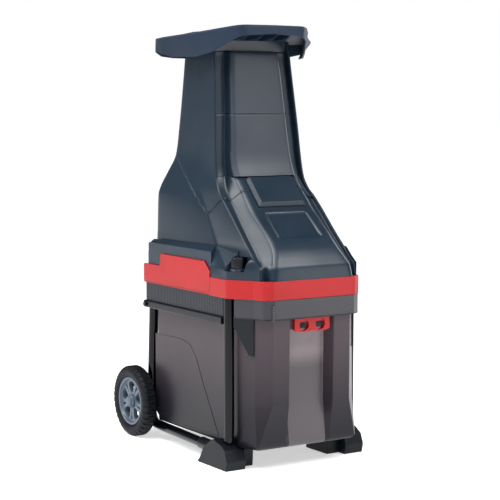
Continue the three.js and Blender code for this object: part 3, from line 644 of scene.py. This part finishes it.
# Hinge lugs and the tongue under the knob, which stand on the housing.
LUG = [(372, 447.6), (384, 447.6), (395, 452), (404, 454), (407, 462), (404, 470), (395, 472),
       (372, 485)]
TONGUE = [(-156, -4), (-144, -6.5), (-118, -9), (-118, 13), (-144, 16.5), (-156, 14)]
for side, sign in SIDES:
    plate(f"hinge_lug_{side}", [fillet(LUG, 3)], -93.6, -76.4, "x", "body", "upper_unit", flip=sign < 0)
plate("knob_tongue", [fillet(TONGUE, 2)], 417.9, 424, "z", "body", "upper_unit")

# ---------------------------------------------------------------- front panels
# Height, half-width and front face.
PANEL = [(608, 78, 114), (622, 78, 121), (640, 77, 127.5), (660, 76, 132.4), (700, 73, 137.8),
         (741, 70.4, 143.2), (862, 62.4, 158.6), (872, 61, 160.5), (877, 59, 165)]
PANEL_WIDTH, PANEL_FACE = curves(PANEL)
# A panel's rounded end: distance from the end and how far the surface is sunk there.
PANEL_END = ((0, 1.1), (0.5, 0.3), (1.1, 0))


def panel_ring(z, sink):
    w, face = PANEL_WIDTH(z) - sink, PANEL_FACE(z) + sink
    xf, floor = FRONT_AT[0](z), FRONT_AT[1](z) + FRONT_AT[2](z)
    flange, back, rim = floor - 1.6 + sink, floor + 0.5, xf - 8
    corners = [(0, face), (w, face + 1.4), (w + 4, flange), (rim, flange), (rim, back), (0, back)]
    return symmetric([(p[0], p[1], z) for p in fillet(corners, [0, 15, 6, 0.6, 0, 0], 6, False)])


def panel(node, low, high, low_lip, high_lip):
    """A grey front panel, whose lighter tone is partly its own and partly a painted sheen of front
    light; its dark flanges line the grooves beside it.
    """
    rings = [panel_ring(z, 0) for z in levels(low, high, 4)]
    if low_lip:
        rings = [panel_ring(low + away, sink) for away, sink in PANEL_END] + rings[1:]
    if high_lip:
        rings = rings[:-1] + [panel_ring(high - away, sink) for away, sink in reversed(PANEL_END)]
    piece = loft(node + "_cover", rings, "panel", "upper_unit", node, angle=50)
    piece.data.materials.append(MATERIALS["body"])
    for face in piece.data.polygons:
        middle = face.center * 1000
        face.material_index = int(abs(middle.x) > PANEL_WIDTH(middle.z) + 0.2)


panel("front_panel_lower", 608, 740.5, False, True)
panel("front_panel_upper", 741.3, 877, True, True)

# ---------------------------------------------------------------- hood
# Upper edge x, y and z, lower edge x, y and z, mouth x and y, seat x and y.
HOOD = [
    (0, 84, 930, 0, 84, 911, 0, 196, 0, 172), (84, 87, 929.5, 84, 87, 906, 68, 198, 90, 174),
    (121, 135, 921, 118, 142, 874, 74, 212, 101, 196),
    (150, 180, 914, 138, 178, 863.5, 74, 236, 101, 226),
    (176, 211, 909, 164.5, 233, 863, 74, 250, 101, 244),
    (196, 233, 905, 183, 250, 869, 74, 262, 101, 262),
    (200, 240, 902, 192.5, 259, 877, 74, 272, 101, 276),
    (197, 253, 903, 189, 269, 874, 74, 284, 100, 290),
    (160, 296, 908, 160, 296, 866, 74, 294, 98, 312), (112, 332, 914, 112, 332, 864, 70, 300, 88, 328),
    (60, 344, 917, 60, 344, 864, 56, 302, 62, 336), (0, 346, 918, 0, 346, 864, 0, 302, 0, 336),
]
HOOD_RADII = [0, 60, 70, 60, 60, 5, 4, 5, 60, 26, 40, 0]
# Where an edge's three numbers start in a row of the table.
UPPER, LOWER = 0, 3
MOUTH_RIM, SEAT = 922, 900
hood_line = fillet(HOOD, HOOD_RADII, 7, False)
stations = resampled(hood_line, [5] + [1] * (len(hood_line) - 2))


def hood_loop(of):
    return symmetric([tuple(of(s)) for s in stations])


def towards(s, share, z, start=UPPER):
    """A point between the hood's upper or lower edge and the mouth."""
    return (s[start] + (s[6] - s[start]) * share, s[start + 1] + (s[7] - s[start + 1]) * share, z)


def edge_in(s, distance, z, start=UPPER):
    """A point some distance in from one of the hood's edges."""
    gap = math.hypot(s[6] - s[start], s[7] - s[start + 1])
    return towards(s, distance / gap, z, start)


# Up the outside, over the top into the mouth, down to the seat and back along the inside.
HOOD_POINTS = [
    lambda s: edge_in(s, 0.5, s[5], LOWER),
    lambda s: (s[3], s[4], s[5] + 0.8),
    lambda s: (s[0:3] + s[3:6]) / 2,
    lambda s: (s[0], s[1], s[2] - 3),
    lambda s: edge_in(s, 0.7, s[2] - 1),
    lambda s: edge_in(s, 3, s[2]),
    lambda s: towards(s, 0.5, s[2] + (MOUTH_RIM - s[2]) * 0.5 - 1),
    lambda s: towards(s, 0.93, MOUTH_RIM - 0.5),
    lambda s: towards(s, 0.98, MOUTH_RIM),
    lambda s: towards(s, 1, MOUTH_RIM - 2),
    lambda s: (s[6], s[7], SEAT),
    lambda s: (s[8], s[9], SEAT),
    lambda s: towards(s, 0.4, s[2] - 6),
    lambda s: edge_in(s, 4.5, s[2] - 5),
    lambda s: edge_in(s, 3.6, s[5] + 0.8, LOWER),
    lambda s: edge_in(s, 3, s[5], LOWER),
]
loft("hood_shell", [hood_loop(of) for of in HOOD_POINTS], "hood", "upper_unit", "hood", loop=True,
     angle=25)
RIB, RIB_HALF = [(90, 921), (90, 912), (122, 903), (172, 899), (172, 921)], 1.2
for k, x in enumerate((-54, -18, 18, 54)):
    plate(f"hood_rib_{k + 1}", [RIB], x - RIB_HALF, x + RIB_HALF, "x", "body", "upper_unit", bevel=0.4)


# ---------------------------------------------------------------- collecting box
def box_section(front, recess, chamfer_x, chamfer_y, corner_x, corner_y):
    return [(0, recess), (46, recess), (56, front), (chamfer_x, front), (corner_x, chamfer_y),
            (138, corner_y), (138, 355), (126, 367), (0, 367)]


BOX_RADII = [0, 2.5, 2.5, 3, 5, 9, 10, 10, 0]
BOX_LEVELS = [
    (45, box_section(-38, -38, 118, -36, 121, 12)), (53, box_section(-44, -43, 123, -41, 126, 10)),
    (137, box_section(-57, -31, 98, -32, 124, 10)), (319.7, box_section(-60, -33, 97, -30, 123, 10)),
]
BOX_TOP = BOX_LEVELS[-1][0]
BOX_MIDDLE = np.array([0, 164.0])


def box_ring(z, shrink=0.0):
    heights = [level[0] for level in BOX_LEVELS]
    k = min(max(sum(h <= z for h in heights) - 1, 0), len(heights) - 2)
    t = (z - heights[k]) / (heights[k + 1] - heights[k])
    a, b = (np.array(BOX_LEVELS[i][1], float) for i in (k, k + 1))
    out = []
    for p in fillet(a + (b - a) * t, BOX_RADII, 4, False):
        d = BOX_MIDDLE - p
        reach = np.minimum(shrink, np.abs(d)) * np.sign(d)
        out.append((*(p + reach), z))
    return symmetric(out)


box_heights = levels(53, 134, 9) + levels(137, 140, 3) + levels(149, 317, 12) + [BOX_TOP]
box_rings = [box_ring(z, shrink) for z, shrink in ((45, 5), (45, 1.6), (46.2, 0.5), (48.5, 0.0))]
box_rings += [box_ring(z) for z in box_heights]
box_shell = loft("box_shell", box_rings, "box", "catch_box", "collecting_box", (True, False), shell=WALL,
                 angle=25)
box_shell.data.materials.append(MATERIALS["box_recess_painted_light"])
# Painted light: the box's front recess below the latch, with Y from the frame's own origin, takes a
# lighter copy of the box plastic for light shining through the smoked wall.
PAINTED_LIGHT_HALF, PAINTED_LIGHT_FRONT, PAINTED_LIGHT_TOP = 48, -235, 292
for face in box_shell.data.polygons:
    x, y, z = face.center * 1000
    face.material_index = int(abs(x) < PAINTED_LIGHT_HALF and y < PAINTED_LIGHT_FRONT and z < PAINTED_LIGHT_TOP)
EMBOSS = [(366, 243.5), (250, 245.5), (210, 237), (184, 212), (150, 152), (92.5, 61), (92.5, 54),
          (350, 54), (366, 66)]
EMBOSS_RADII = [2, 40, 30, 26, 60, 4, 4, 14, 8]
RUNNER = block(36, 350, 311.6, 315.6)
for side, sign in SIDES:
    plate(f"box_emboss_{side}", [fillet(EMBOSS, EMBOSS_RADII, 6)], -138.9, -136.5, "x", "box",
          "catch_box", bevel=0.8, flip=sign < 0)
    plate(f"box_runner_{side}", [RUNNER], -142, -137, "x", "box", "catch_box", bevel=0.6, flip=sign < 0)

# ---------------------------------------------------------------- collar round the box's mouth
COLLAR = [(0, -70), (100, -69), (120, -57.5), (128.5, -33), (153.5, 5.5), (140, 5.5)]
COLLAR_RADII = [0, 9, 9, 8, 1.5, 1]
COLLAR_LOW, COLLAR_HIGH = 320, 360.7


def half_wall(half, radii, thickness):
    """A closed outline of a wall that follows a path and its mirror image."""
    outer = fillet(half, radii, 4, False)
    path = [np.array((-p[0], p[1])) for p in outer[:0:-1]] + [np.array(p) for p in outer]
    inner = []
    for i, p in enumerate(path):
        a, b = path[max(i - 1, 0)], path[min(i + 1, len(path) - 1)]
        d = (b - a) / np.linalg.norm(b - a)
        inner.append(p + np.array([-d[1], d[0]]) * thickness)
    return [tuple(p) for p in path] + [tuple(p) for p in reversed(inner)]


plate("collar_wall", [half_wall(COLLAR, COLLAR_RADII, 3.6)], COLLAR_LOW, COLLAR_HIGH, "z", "collar",
      "catch_box", "box_collar", bevel=0.9)
# The flange closes the gap between the collar's wall and the box's mouth.
mouth = sorted([(p[0], p[1]) for p in box_ring(BOX_TOP, WALL) if p[1] < -21])
outline = half_wall(COLLAR, COLLAR_RADII, WALL)
outside = outline[: len(outline) // 2]
flange = outside + [(135, 5.5), (135, -20)] + mouth[::-1] + [(-135, -20), (-135, 5.5)]
plate("collar_flange", [flange], COLLAR_LOW, COLLAR_LOW + 3, "z", "collar", "catch_box", bevel=0.5)
plate("collar_rib", [[(-106, 318.5), (-100, 318.5), (-100, 352), (-106, 352)]], -70.6, -66, "y",
      "collar", "catch_box", bevel=0.8)
EAR_OUT = [(-127.7, -31.5, 243), (-133.4, -22.7, 243), (-152.8, 7, 302), (-152.8, 7, 322),
           (-127.7, -31.5, 322)]
EAR_IN = [(-124.9, -29.7, 243), (-130.6, -20.9, 243), (-150, 8.8, 302), (-150, 8.8, 322),
          (-124.9, -29.7, 322)]
ear_rings = [fillet(ear, [1, 8, 2, 0, 0], 4) for ear in (EAR_OUT, EAR_IN)]
# The ears take the black plastic as painted shade; they belong to the smoked collar, whose facets here
# turn away from the lamps.
for side, sign in SIDES:
    loft(f"collar_ear_{side}", ear_rings, "black", "catch_box", flip=sign < 0, bevel=0.9, angle=50)

# ---------------------------------------------------------------- latch
LATCH = [(-44, 294), (-37, 291), (-20, 289), (0, 291.5), (20, 289), (37, 291), (44, 294), (44, 318),
         (-44, 318)]
LATCH_RADII = [5, 10, 12, 14, 12, 10, 5, 2, 2]
FINGER_HOLES = [circle(x, 304.5, 12) for x in (-20.5, 20.5)]
plate("latch_handle", [fillet(LATCH, LATCH_RADII, 5)] + FINGER_HOLES, -60, -50, "y", "red", "latch",
      "box_latch", bevel=2.2, segments=4)
plate("latch_stem", [[(-34, 310), (34, 310), (34, 332), (-34, 332)]], -57, -51, "y", "red", "latch",
      bevel=0.8)

# ---------------------------------------------------------------- red band and side trim
BAND = [(0, -69.5), (103, -68), (122, -57), (130, -33), (163, 14), (164.5, 20), (164.5, 83.7),
        (160, 83.7), (160, 375), (156.7, 387.5), (147.5, 396.7), (135, 400), (0, 400)]
BAND_IN = [(0, -66), (101.8, -64.5), (119, -54.6), (127, -31.5), (159.8, 15.3), (160.5, 22), (160.5, 60),
           (156.5, 84), (156.5, 374.5), (153.6, 385.8), (145.4, 393.8), (134.6, 396.5), (0, 396.5)]
BAND_RADII = [0, 14, 12, 12, 9, 4, 1, 1, 10, 8, 8, 10, 0]
band_outlines = [symmetric(fillet(line, BAND_RADII, 4, False)) for line in (BAND, BAND_IN)]
plate("band_shell", band_outlines, 361, 400, "z", "red", "chassis", "red_band", bevel=1.1, segments=3)
SIDE_PANEL = [(84.2, 367), (372, 367), (372, 405), (300, 405), (295, 432), (109, 432), (84.2, 410)]
SIDE_PANEL_RADII = [1.5, 2, 2, 3, 3, 4, 3]
RAIL = [(-139, 305), (-139, 311), (-150, 311), (-150, 360.7), (-156, 360.7), (-156, 321),
        (-165.5, 321), (-165.5, 305)]
RAIL_RADII = [1, 1, 2, 0.5, 0.5, 2, 2.5, 2.5]
TRIM_FRONT, SKIRT_REAR, RAIL_REAR = 36, 370, 372
rail_rings = [[(x, y, z) for x, z in fillet(RAIL, RAIL_RADII, 3)] for y in (TRIM_FRONT, RAIL_REAR)]
# The skirt is finely ribbed: a rib is four steps wide, and two of them are grooved.
RIBS, RIB_STEPS, RIB_GROOVE = 50, 4, 0.45
skirt = []
for k in range(RIBS * RIB_STEPS + 1):
    y = TRIM_FRONT + (SKIRT_REAR - TRIM_FRONT) * k / (RIBS * RIB_STEPS)
    skirt.append((-160 + (RIB_GROOVE if k % RIB_STEPS in (0, 1) else 0), y))
skirt += [(-156.3, SKIRT_REAR), (-156.3, TRIM_FRONT)]
skirt_rings = [[(*p, z) for p in skirt] for z in (321.3, COLLAR_HIGH)]
for side, sign in SIDES:
    flip = sign < 0
    plate(f"side_cover_{side}", [fillet(SIDE_PANEL, SIDE_PANEL_RADII)], -164.5, -160.3, "x", "red",
          "chassis", f"side_panel_{side}", bevel=1.2, segments=3, flip=flip)
    loft(f"ribbed_skirt_{side}", skirt_rings, "skirt", "chassis", f"side_skirt_{side}", flip=flip,
         angle=20)
    loft(f"rail_{side}", rail_rings, "black", "chassis", f"box_rail_{side}", flip=flip, bevel=0.5,
         angle=50)

# ---------------------------------------------------------------- tubular frame, feet, axle
TUBE = [(-154, 22, 360.7), (-154, 22, 32), (-137, 311, 32), (-130.5, 402, 32), (-130, 384, 360.1)]
tube_path = fillet(TUBE, [0, 52, 150, 34, 0], 14, False)
# The radii of the tube and its sleeve, how many sides both have, and the lower run's height.
TUBE_RADIUS, SLEEVE_RADIUS, TUBE_SIDES, TUBE_HEIGHT = 11, 13.4, 32, 32
SLEEVE_ENDS = (107, 146)


def tube_x(y):
    """Where the lower run of the left tube lies at a given Y."""
    return TUBE[1][0] + (TUBE[2][0] - TUBE[1][0]) * (y - TUBE[1][1]) / (TUBE[2][1] - TUBE[1][1])


sleeve_path = [(tube_x(y), y, TUBE_HEIGHT) for y in SLEEVE_ENDS]
FOOT = [(0, 0), (-5, 20), (4, 42), (22, 53), (52, 61), (70, 52), (94, 35), (106, 13), (120, 0)]
FOOT_RADII = [3, 10, 10, 8, 12, 8, 14, 14, 3]
FOOT_LOW = [(0, 0), (-5, 20), (3, 40), (8, 43.6), (82, 43.6), (94, 35), (106, 13), (120, 0)]
FOOT_INNER = [(20, 0), (18, 38), (26, 43.6), (64, 43.6), (72, 40), (96, 24), (104, 0)]
for side, sign in SIDES:
    flip = sign < 0
    tube(f"tube_{side}", tube_path, TUBE_RADIUS, TUBE_SIDES, "tube", "chassis", f"frame_tube_{side}",
         flip=flip, angle=60)
    plate(f"foot_outer_{side}", [fillet(FOOT, FOOT_RADII)], -176, -139.6, "x", "foot", "chassis",
          f"front_foot_{side}", bevel=2.4, segments=3, flip=flip)
    plate(f"foot_step_{side}", [fillet(FOOT_LOW, 3)], -141, -128, "x", "foot", "chassis", bevel=1.2,
          flip=flip)
    plate(f"foot_inner_{side}", [fillet(FOOT_INNER, 4)], -130, -96, "x", "foot", "chassis", bevel=2,
          segments=3, flip=flip)
    tube(f"sleeve_{side}", sleeve_path, SLEEVE_RADIUS, TUBE_SIDES, "black", "chassis",
         f"tube_sleeve_{side}", flip=flip, bevel=1.2, segments=3)

# ---------------------------------------------------------------- wheels
AXLE = (0, 421, 81)
# Radius and distance from the middle plane.
TYRE = [(55.3, 152), (60, 147.5), (70, 146), (78, 149), (81.36, 154), (81.36, 173), (78, 178),
        (70, 181), (60, 179.5), (55.3, 176)]
TYRE_RADII = [0, 6, 14, 9, 5, 5, 9, 14, 6, 0]
TYRE_MIDDLE, TYRE_HALF = 163.5, 17.5
TREAD_BLOCKS, STEPS_PER_BLOCK, TREAD_FROM = 34, 8, 70
# The profile's segments before the tread's flat, and the flat's parts.
BEFORE_FLAT, FLAT_PARTS = 19, 9


def tread_depth(turn, r, across):
    """How deep the tyre is cut, at a share of a turn and at -1 to 1 across its width."""
    if r > TREAD_FROM:
        share = (turn * TREAD_BLOCKS + (0.5 if across < 0 else 0) + 0.22 * abs(across)) % 1
        zigzag = abs((turn * TREAD_BLOCKS * 0.5) % 1 - 0.5) * 4 - 1
        cut = 3.2 if share < 0.3 and abs(across) > 0.2 else 0.0
        if abs(across - 0.13 * zigzag) < 0.075:
            cut = 2.2
        return cut * min(1.0, (r - TREAD_FROM) / 6)
    if 61 < r < 69:
        return -0.35 * math.cos((r - 65) * math.pi / 2)
    return 0.0


def tyre_rings():
    """A tyre with a zigzag centre groove, staggered shoulder blocks and ringed side walls."""
    line = fillet(TYRE, TYRE_RADII, 4, False)
    parts = [1] * BEFORE_FLAT + [FLAT_PARTS] + [1] * (len(line) - BEFORE_FLAT - 2)
    profile = resampled(line, parts)
    steps = TREAD_BLOCKS * STEPS_PER_BLOCK
    rings = []
    for k in range(steps):
        turn = k / steps
        angle = 2 * math.pi * turn
        ring = []
        for r, x in profile:
            rr = r - tread_depth(turn, r, (x - TYRE_MIDDLE) / TYRE_HALF)
            ring.append((-x, AXLE[1] + rr * math.cos(angle), AXLE[2] + rr * math.sin(angle)))
        rings.append(ring)
    return rings


def polar(radius, degrees):
    angle = math.radians(degrees)
    return (AXLE[1] + radius * math.cos(angle), AXLE[2] + radius * math.sin(angle))


# Profiles as radius and X, holes between the spokes as radius and degrees.
BARREL = [(38, -151), (54.2, -151), (55.2, -152), (55.2, -176), (54.2, -177.2), (50.5, -177.2),
          (49.3, -176), (48.6, -172.5), (47.5, -171.5), (47.5, -153), (38, -153)]
HUB = [(6.2, -148), (13, -148), (14, -149), (14, -172), (15.5, -173), (15, -176.6), (13.6, -178),
       (6.2, -178)]
AXLE_CAP = [(12, -178.3), (12, -180.2), (11, -181.6), (8.5, -182.6), (4, -183)]
PETAL = [(19, -9), (26, -17), (40, -21), (44, -14), (46, 0), (44, 14), (40, 21), (26, 17), (19, 9)]
SLOT = [(24, 34.5), (43.5, 31), (43.5, 41), (24, 37.5)]
SPOKES = 5
spoke_outlines = [circle(AXLE[1], AXLE[2], 48.4, 72)]
for k in range(SPOKES):
    middle = 90 + k * 360 / SPOKES
    for hole, radius, steps in ((PETAL, 4, 4), (SLOT, 1.2, 3)):
        spoke_outlines.append(fillet([polar(r, middle + a) for r, a in hole], radius, steps))
tyre_shape = tyre_rings()
for side, sign in SIDES:
    flip = sign < 0
    wheel = f"wheel_{side}"
    loft(f"tyre_tread_{side}", tyre_shape, "tyre", wheel, f"tyre_{side}", loop=True, flip=flip, angle=45)
    turned(f"rim_barrel_{side}", BARREL, 72, AXLE, "rim", wheel, f"wheel_rim_{side}", loop=True,
           flip=flip, angle=45)
    plate(f"rim_spokes_{side}", spoke_outlines, -172, -162, "x", "rim", wheel, bevel=1.5, segments=3,
          flip=flip)
    turned(f"rim_hub_{side}", HUB, 48, AXLE, "rim", wheel, loop=True, flip=flip, angle=35)
    turned(f"axle_cap_{side}", AXLE_CAP, 40, AXLE, "rim", wheel, f"hub_cap_{side}", flip=flip, angle=40)

# ---------------------------------------------------------------- locking knob
KNOB, KNOB_STEPS, KNOB_FLUTES = (-144, 5), 96, 16
# Radius, height and depth of the flutes.
KNOB_ROWS = [(4, 412, 0), (4, 424.4, 0), (11, 424.4, 0), (12.1, 425.2, 0.6), (12.5, 426.6, 1.1),
             (12.5, 441.5, 1.1), (12.1, 444, 0.8), (10.9, 445.6, 0.2), (9.2, 446, 0), (8.5, 445.2, 0),
             (7.4, 444.8, 0)]


def knob_ring(radius, z, flute):
    ring = []
    for k in range(KNOB_STEPS):
        angle = 2 * math.pi * k / KNOB_STEPS
        r = radius - flute * (0.5 - 0.5 * math.cos(angle * KNOB_FLUTES)) ** 2
        ring.append((KNOB[0] + r * math.cos(angle), KNOB[1] + r * math.sin(angle), z))
    return ring


loft("knob_grip", [knob_ring(*row) for row in KNOB_ROWS], "black", "knob", "locking_knob", angle=40)


# ---------------------------------------------------------------- CAD nodes that keep their shape
def dress(node, material, bevel, segments):
    """Gives a CAD node its material, rounded edges and clean shading."""
    obj = NODES[node]
    obj.data.materials.clear()
    obj.data.materials.append(MATERIALS[material])
    if "custom_normal" in obj.data.attributes:
        obj.data.attributes.remove(obj.data.attributes["custom_normal"])
    weld = obj.modifiers.new("weld", "WELD")
    weld.merge_threshold = WELD_DISTANCE
    flat = obj.modifiers.new("flat", "DECIMATE")
    flat.decimate_type = "DISSOLVE"
    flat.angle_limit = math.radians(1.5)
    settle(obj, bevel, segments)


# Node, edge radius in millimetres and its segments.
DRESSED = {
    "body": [("deck", 1.0, 2), ("switch_cover", 1.3, 3), ("slope_panel", 0.7, 2)],
    "black": [("rail_bolt_left", 0.6, 2), ("rail_bolt_right", 0.6, 2), ("axle_bracket_left", 0.9, 2),
              ("axle_bracket_right", 0.9, 2), ("feed_chute", 0.8, 2), ("switch_base", 0.4, 2),
              ("power_inlet", 0.5, 2), ("run_capacitor", 1.2, 2), ("safety_switch", 0.8, 2)],
    "steel": [("axle", 0.6, 2), ("hinge_pin_left", 0.5, 2),
              ("hinge_pin_right", 0.5, 2), ("switch_cover_pin", 0.2, 1), ("inlet_pin_live", 0.3, 1),
              ("inlet_pin_neutral", 0.3, 1), ("inlet_pin_earth", 0.3, 1), ("motor_shaft", 0.6, 2),
              ("knife_disc", 0.4, 2), ("knife_1", 0.15, 1), ("knife_2", 0.15, 1), ("disc_bolt", 0.8, 2),
              ("counter_blade", 0.15, 1)],
    "iron": [("motor_stator", 0.6, 2), ("motor_end_cap", 1.2, 2), ("chamber_ring", 0.4, 2),
             ("feed_guide", 0.8, 2)],
    "green": [("start_button", 0.5, 2)],
    "red": [("stop_button", 0.5, 2)],
}
for finish_name, rows in DRESSED.items():
    for node, bevel, segments in rows:
        dress(node, finish_name, bevel, segments)


# ---------------------------------------------------------------- floor, light and camera
def floor_material():
    material, tree, shader, place = new_material("pale_floor")
    tones = [(0.3, linear((240, 240, 241))), (0.7, linear((244, 244, 244)))]
    tone = ramp(tree, noise(tree, place, 2, 3, 0.5), tones)
    tree.links.new(tone, shader.inputs["Base Color"])
    shader.inputs["Roughness"].default_value = 0.85
    shader.inputs["Specular IOR Level"].default_value = 0.1
    shader.inputs["Emission Color"].default_value = (1, 1, 1, 1)
    shader.inputs["Emission Strength"].default_value = 0.56
    return material


REACH = 40
floor_mesh = bpy.data.meshes.new("floor")
floor_mesh.from_pydata([(*p, 0) for p in block(-REACH, REACH, -REACH, REACH)], [], [(0, 1, 2, 3)])
floor_mesh.materials.append(floor_material())
floor = bpy.data.objects.new("floor", floor_mesh)
bpy.context.scene.collection.objects.link(floor)

world = bpy.data.worlds.new("studio")
bpy.context.scene.world = world
world.use_nodes = True
sky = world.node_tree
direction = sky.nodes.new("ShaderNodeTexCoord").outputs["Generated"]
split = sky.nodes.new("ShaderNodeSeparateXYZ")
sky.links.new(direction, split.inputs["Vector"])
# A white cove round the horizon under a dark ceiling; the camera sees plain white.
COVE = [(0.0, (0.9, 0.95, 1, 1)), (0.25, (0.5, 0.56, 0.64, 1)), (0.5, (0.2, 0.23, 0.28, 1)),
        (1.0, (0.3, 0.33, 0.38, 1))]
backdrop = sky.nodes["Background"]
sky.links.new(ramp(sky, split.outputs["Z"], COVE), backdrop.inputs["Color"])
backdrop.inputs["Strength"].default_value = 0.28
plain = sky.nodes.new("ShaderNodeBackground")
plain.inputs["Color"].default_value = (1, 1, 1, 1)
seen = sky.nodes.new("ShaderNodeMixShader")
sky.links.new(sky.nodes.new("ShaderNodeLightPath").outputs["Is Camera Ray"], seen.inputs["Fac"])
sky.links.new(backdrop.outputs["Background"], seen.inputs[1])
sky.links.new(plain.outputs["Background"], seen.inputs[2])
sky.links.new(seen.outputs["Shader"], sky.nodes["World Output"].inputs["Surface"])


def aimed(name, data, direction):
    """An object whose own -Z axis points along a direction."""
    obj = bpy.data.objects.new(name, data)
    bpy.context.scene.collection.objects.link(obj)
    obj.rotation_mode = "QUATERNION"
    obj.rotation_quaternion = Vector(direction).to_track_quat("-Z", "Y")
    return obj


# Name, place, target, width and height, watts.
SOFTBOXES = [
    ("softbox_left", (-2.3, 0.9, 2.3), (0, 0, 0.5), (1.3, 1.5), 58),
    ("softbox_front_left", (-2.7, -1.75, 1.0), (0, 0, 0.5), (0.5, 1.9), 4),
    ("softbox_low_right", (1.95, -3.07, 0.86), (0, -0.2, 0.45), (0.9, 1.6), 15),
    ("softbox_front_right", (1.2, -1.9, 2.4), (0, 0, 0.4), (1.1, 1.1), 38),
    ("rim_right", (2.6, 0.5, 1.2), (0, 0, 0.6), (0.5, 1.8), 18),
    ("strip_above", (-1.1, -0.5, 2.3), (-0.1, -0.15, 0.55), (0.7, 1.4), 28),
]
for name, place, target, size, energy in SOFTBOXES:
    data = bpy.data.lights.new(name, "AREA")
    data.shape = "RECTANGLE"
    data.size, data.size_y = size
    data.energy = energy
    aimed(name, data, Vector(target) - Vector(place)).location = place
overhead = bpy.data.lights.new("overhead", "SUN")
overhead.energy = 1.6
overhead.angle = math.radians(50)
aimed("overhead", overhead, (0.2, 0.35, -1))

TURN, TILT = math.radians(32.43), math.radians(5.444)
look = (math.sin(TURN) * math.cos(TILT), math.cos(TURN) * math.cos(TILT), -math.sin(TILT))
camera_data = bpy.data.cameras.new("camera")
camera_data.sensor_width = 36
camera_data.lens = 110.62
camera = aimed("camera", camera_data, look)
camera.location = (-1.8161, -2.8914, 0.7634)
bpy.context.scene.camera = camera
bpy.context.scene.view_settings.view_transform = "Standard"
